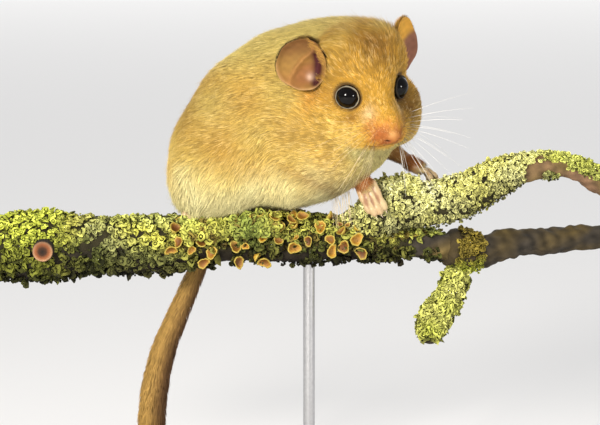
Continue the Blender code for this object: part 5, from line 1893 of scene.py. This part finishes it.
def branch():
    """The bark of each limb, the snag, and the lichen and spore cups that grow on them."""
    stem = Tube(STEM_RUN, 80, shrink=1.7, lump=0.05, seed=1.0)
    upper = Tube(UPPER_RUN, 60, shrink=1.2, lump=0.05, seed=2.0)
    upper.radii = upper.radii + 0.6 * MM * smooth(upper.places[:, 0] / MM, 44, 54)
    lower = Tube(LOWER_RUN, 40, shrink=0.25, lump=0.05, seed=3.0)
    stub = Tube(STUB_RUN, 30, shrink=1.5, lump=0.05, seed=4.0)
    bark_limb("stem", stem, 40, 200, 0.35, (BARK_GREY, BARK_OLIVE), bare_from=22)
    bark_limb("upper", upper, 32, 130, 0.3, (BARK_PURPLE, BARK_OLIVE), bare_from=47)
    bark_limb("lower", lower, 56, 260, 0.32, (BARK_GREY * 0.8, BARK_OLIVE * 0.5))
    bark_limb("stub", stub, 28, 50, 0.3, (BARK_GREY, LICHEN_SHADE))
    snag()
    lichen("stem_lichen", stem, 8900, 1.3, stem_tones, stem_clear, light_side=0.25, lifts=0.8)
    lichen("crest_lichen", stem, 1200, 1.5, stem_tones, stem_clear, light_side=1.0, along=(0.435, 0.63),
           angles=(-34, 6), stand=0.7, upright=0.35, gaps=-9.0, lifts=1.7, base_lift=0.8)
    lichen("foot_lichen", stem, 420, 1.4, stem_tones, light_side=1.0, along=(0.448, 0.565),
           angles=(-38, -4), stand=0.5, upright=0.4, gaps=-9.0, lifts=1.2, base_lift=1.9)
    lichen("fork_lichen", lower, 640, 1.0, fork_tones, light_side=0.7, along=(0.0, 0.16),
           angles=(-60, 120), gaps=-0.3, lifts=1.2)
    lichen("throat_lichen", upper, 800, 1.0, upper_tones, light_side=1.0, along=(0.10, 0.24), spokes=6,
           angles=(-95, -30), stand=0.7, upright=0.2, gaps=-9.0, lifts=2.4)
    lichen("hanging_lichen", stem, 900, 1.9, stem_tones, stem_clear, light_side=1.0, along=(0.03, 0.95),
           angles=(35, 115), stand=0.9)
    lichen("upper_lichen", upper, 10600, 0.9, upper_tones, upper_clear, light_side=0.2, gaps=-0.9,
           spokes=6, lifts=0.9)
    lichen("stub_lichen", stub, 1700, 1.3, stub_tones, light_side=0.4, along=(0.16, 1.0), lifts=0.8)
    cups("stem_cups", stem, 110, (0.40, 0.80), 2, 0.5, sizes=(0.9, 2.5))
    cups("crest_cups", stem, 26, (0.46, 0.68), -27, 0.14, sizes=(1.2, 2.2), raised=2.6)
    cups("upper_cups", upper, 2, (0.13, 0.20), -50, 0.3, sizes=(1.6, 2.0))


# Build

FLESH_NODES = ("head", "neck", "torso", "foreleg_right", "foreleg_left", "hindleg_right", "hindleg_left",
               "tail_base", "tail_middle", "tail_tip")
SIDES = (("right", 1), ("left", -1))


def main():
    bpy.context.scene.view_settings.view_transform = "Standard"
    body = body_skin()
    body_coat(body)
    tail_tube = Tube(TAIL_RUN, TAIL_STATIONS, shrink=TAIL_FRINGE)
    tail = tail_skin(tail_tube)
    tail_coat(tail_tube)
    finished(joined("skin", [body, tail]), "skin_under_coat", FLESH_NODES)
    ears = joined("ears", [ear(name) for name in EARS])
    finished(ears, "ear_skin", ("ear_right", "ear_left"))
    finished(joined("paws", [paw(name) for name in PAWS]), "bare_skin", tuple(PAWS))
    finished(joined("lids", [lid(side, name) for name, side in SIDES]), "lid_skin")
    for name in EARS:
        ear_coat(name)
    paw_coat()
    for name, side in SIDES:
        eyeball(side, name)
    claws()
    whiskers()
    chest_hairs()
    branch()
    for node, made in (("stand_base", walnut_material()), ("stand_rod", steel_material())):
        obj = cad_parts[node]
        obj.data.materials.clear()
        obj.data.materials.append(made)


# Floor, light and camera

CAMERA_DISTANCE = 0.6
CAMERA_ELEVATION = math.radians(8)
CAMERA_TARGET = (0, 0, 0.07205)
FRAME_WIDTH = 0.132
SENSOR = 36


WORLD_TONE = (0.95, 0.96, 1.0)
WORLD_STRENGTH = 0.48

# Area lights: way to them from the head, distance, size, power, colour
LIGHTS = {
    "key": ((-0.48, -0.84, 0.26), 0.5, 0.10, 2.8, (1.0, 0.96, 0.90)),
    "fill": ((0.73, -0.68, 0.10), 0.5, 0.07, 0.9, (1.0, 0.97, 0.93)),
    "top": ((0.1, 0.2, 1.0), 0.8, 0.6, 1.2, (1, 1, 1)),
    "backdrop": ((0.0, 2.6, 1.5), 3.0, 3.0, 44.0, (1, 1, 1)),
}


def area_light(name, direction, distance, size, power, colour):
    light = bpy.data.lights.new(name, "AREA")
    light.size = size
    light.energy = power
    light.color = colour
    obj = bpy.data.objects.new(name, light)
    bpy.context.scene.collection.objects.link(obj)
    way = Vector(direction).normalized()
    obj.location = Vector(on_head(0, 0, 0)) + way * distance
    obj.rotation_mode = "QUATERNION"
    obj.rotation_quaternion = way.to_track_quat("Z", "Y")


def studio():
    bm = bmesh.new()
    bmesh.ops.create_grid(bm, x_segments=1, y_segments=1, size=6.0)
    floor = object_from_bmesh("floor", bm)
    look = Look("floor", 0.9, specular=0.2)
    look.shader.inputs["Base Color"].default_value = (*FLOOR_TONE, 1)
    floor.data.materials.append(look.material)
    world = bpy.data.worlds.new("studio")
    world.use_nodes = True
    background = world.node_tree.nodes["Background"]
    background.inputs["Color"].default_value = (*WORLD_TONE, 1)
    background.inputs["Strength"].default_value = WORLD_STRENGTH
    bpy.context.scene.world = world
    for name, values in LIGHTS.items():
        area_light(name, *values)


def camera():
    data = bpy.data.cameras.new("camera")
    data.sensor_width = SENSOR
    data.lens = SENSOR * CAMERA_DISTANCE / FRAME_WIDTH
    data.clip_start = 0.01
    obj = bpy.data.objects.new("camera", data)
    bpy.context.scene.collection.objects.link(obj)
    back = Vector((0, -math.cos(CAMERA_ELEVATION), math.sin(CAMERA_ELEVATION)))
    obj.location = Vector(CAMERA_TARGET) + back * CAMERA_DISTANCE
    obj.rotation_mode = "QUATERNION"
    obj.rotation_quaternion = back.to_track_quat("Z", "Y")
    bpy.context.scene.camera = obj


main()
studio()
camera()
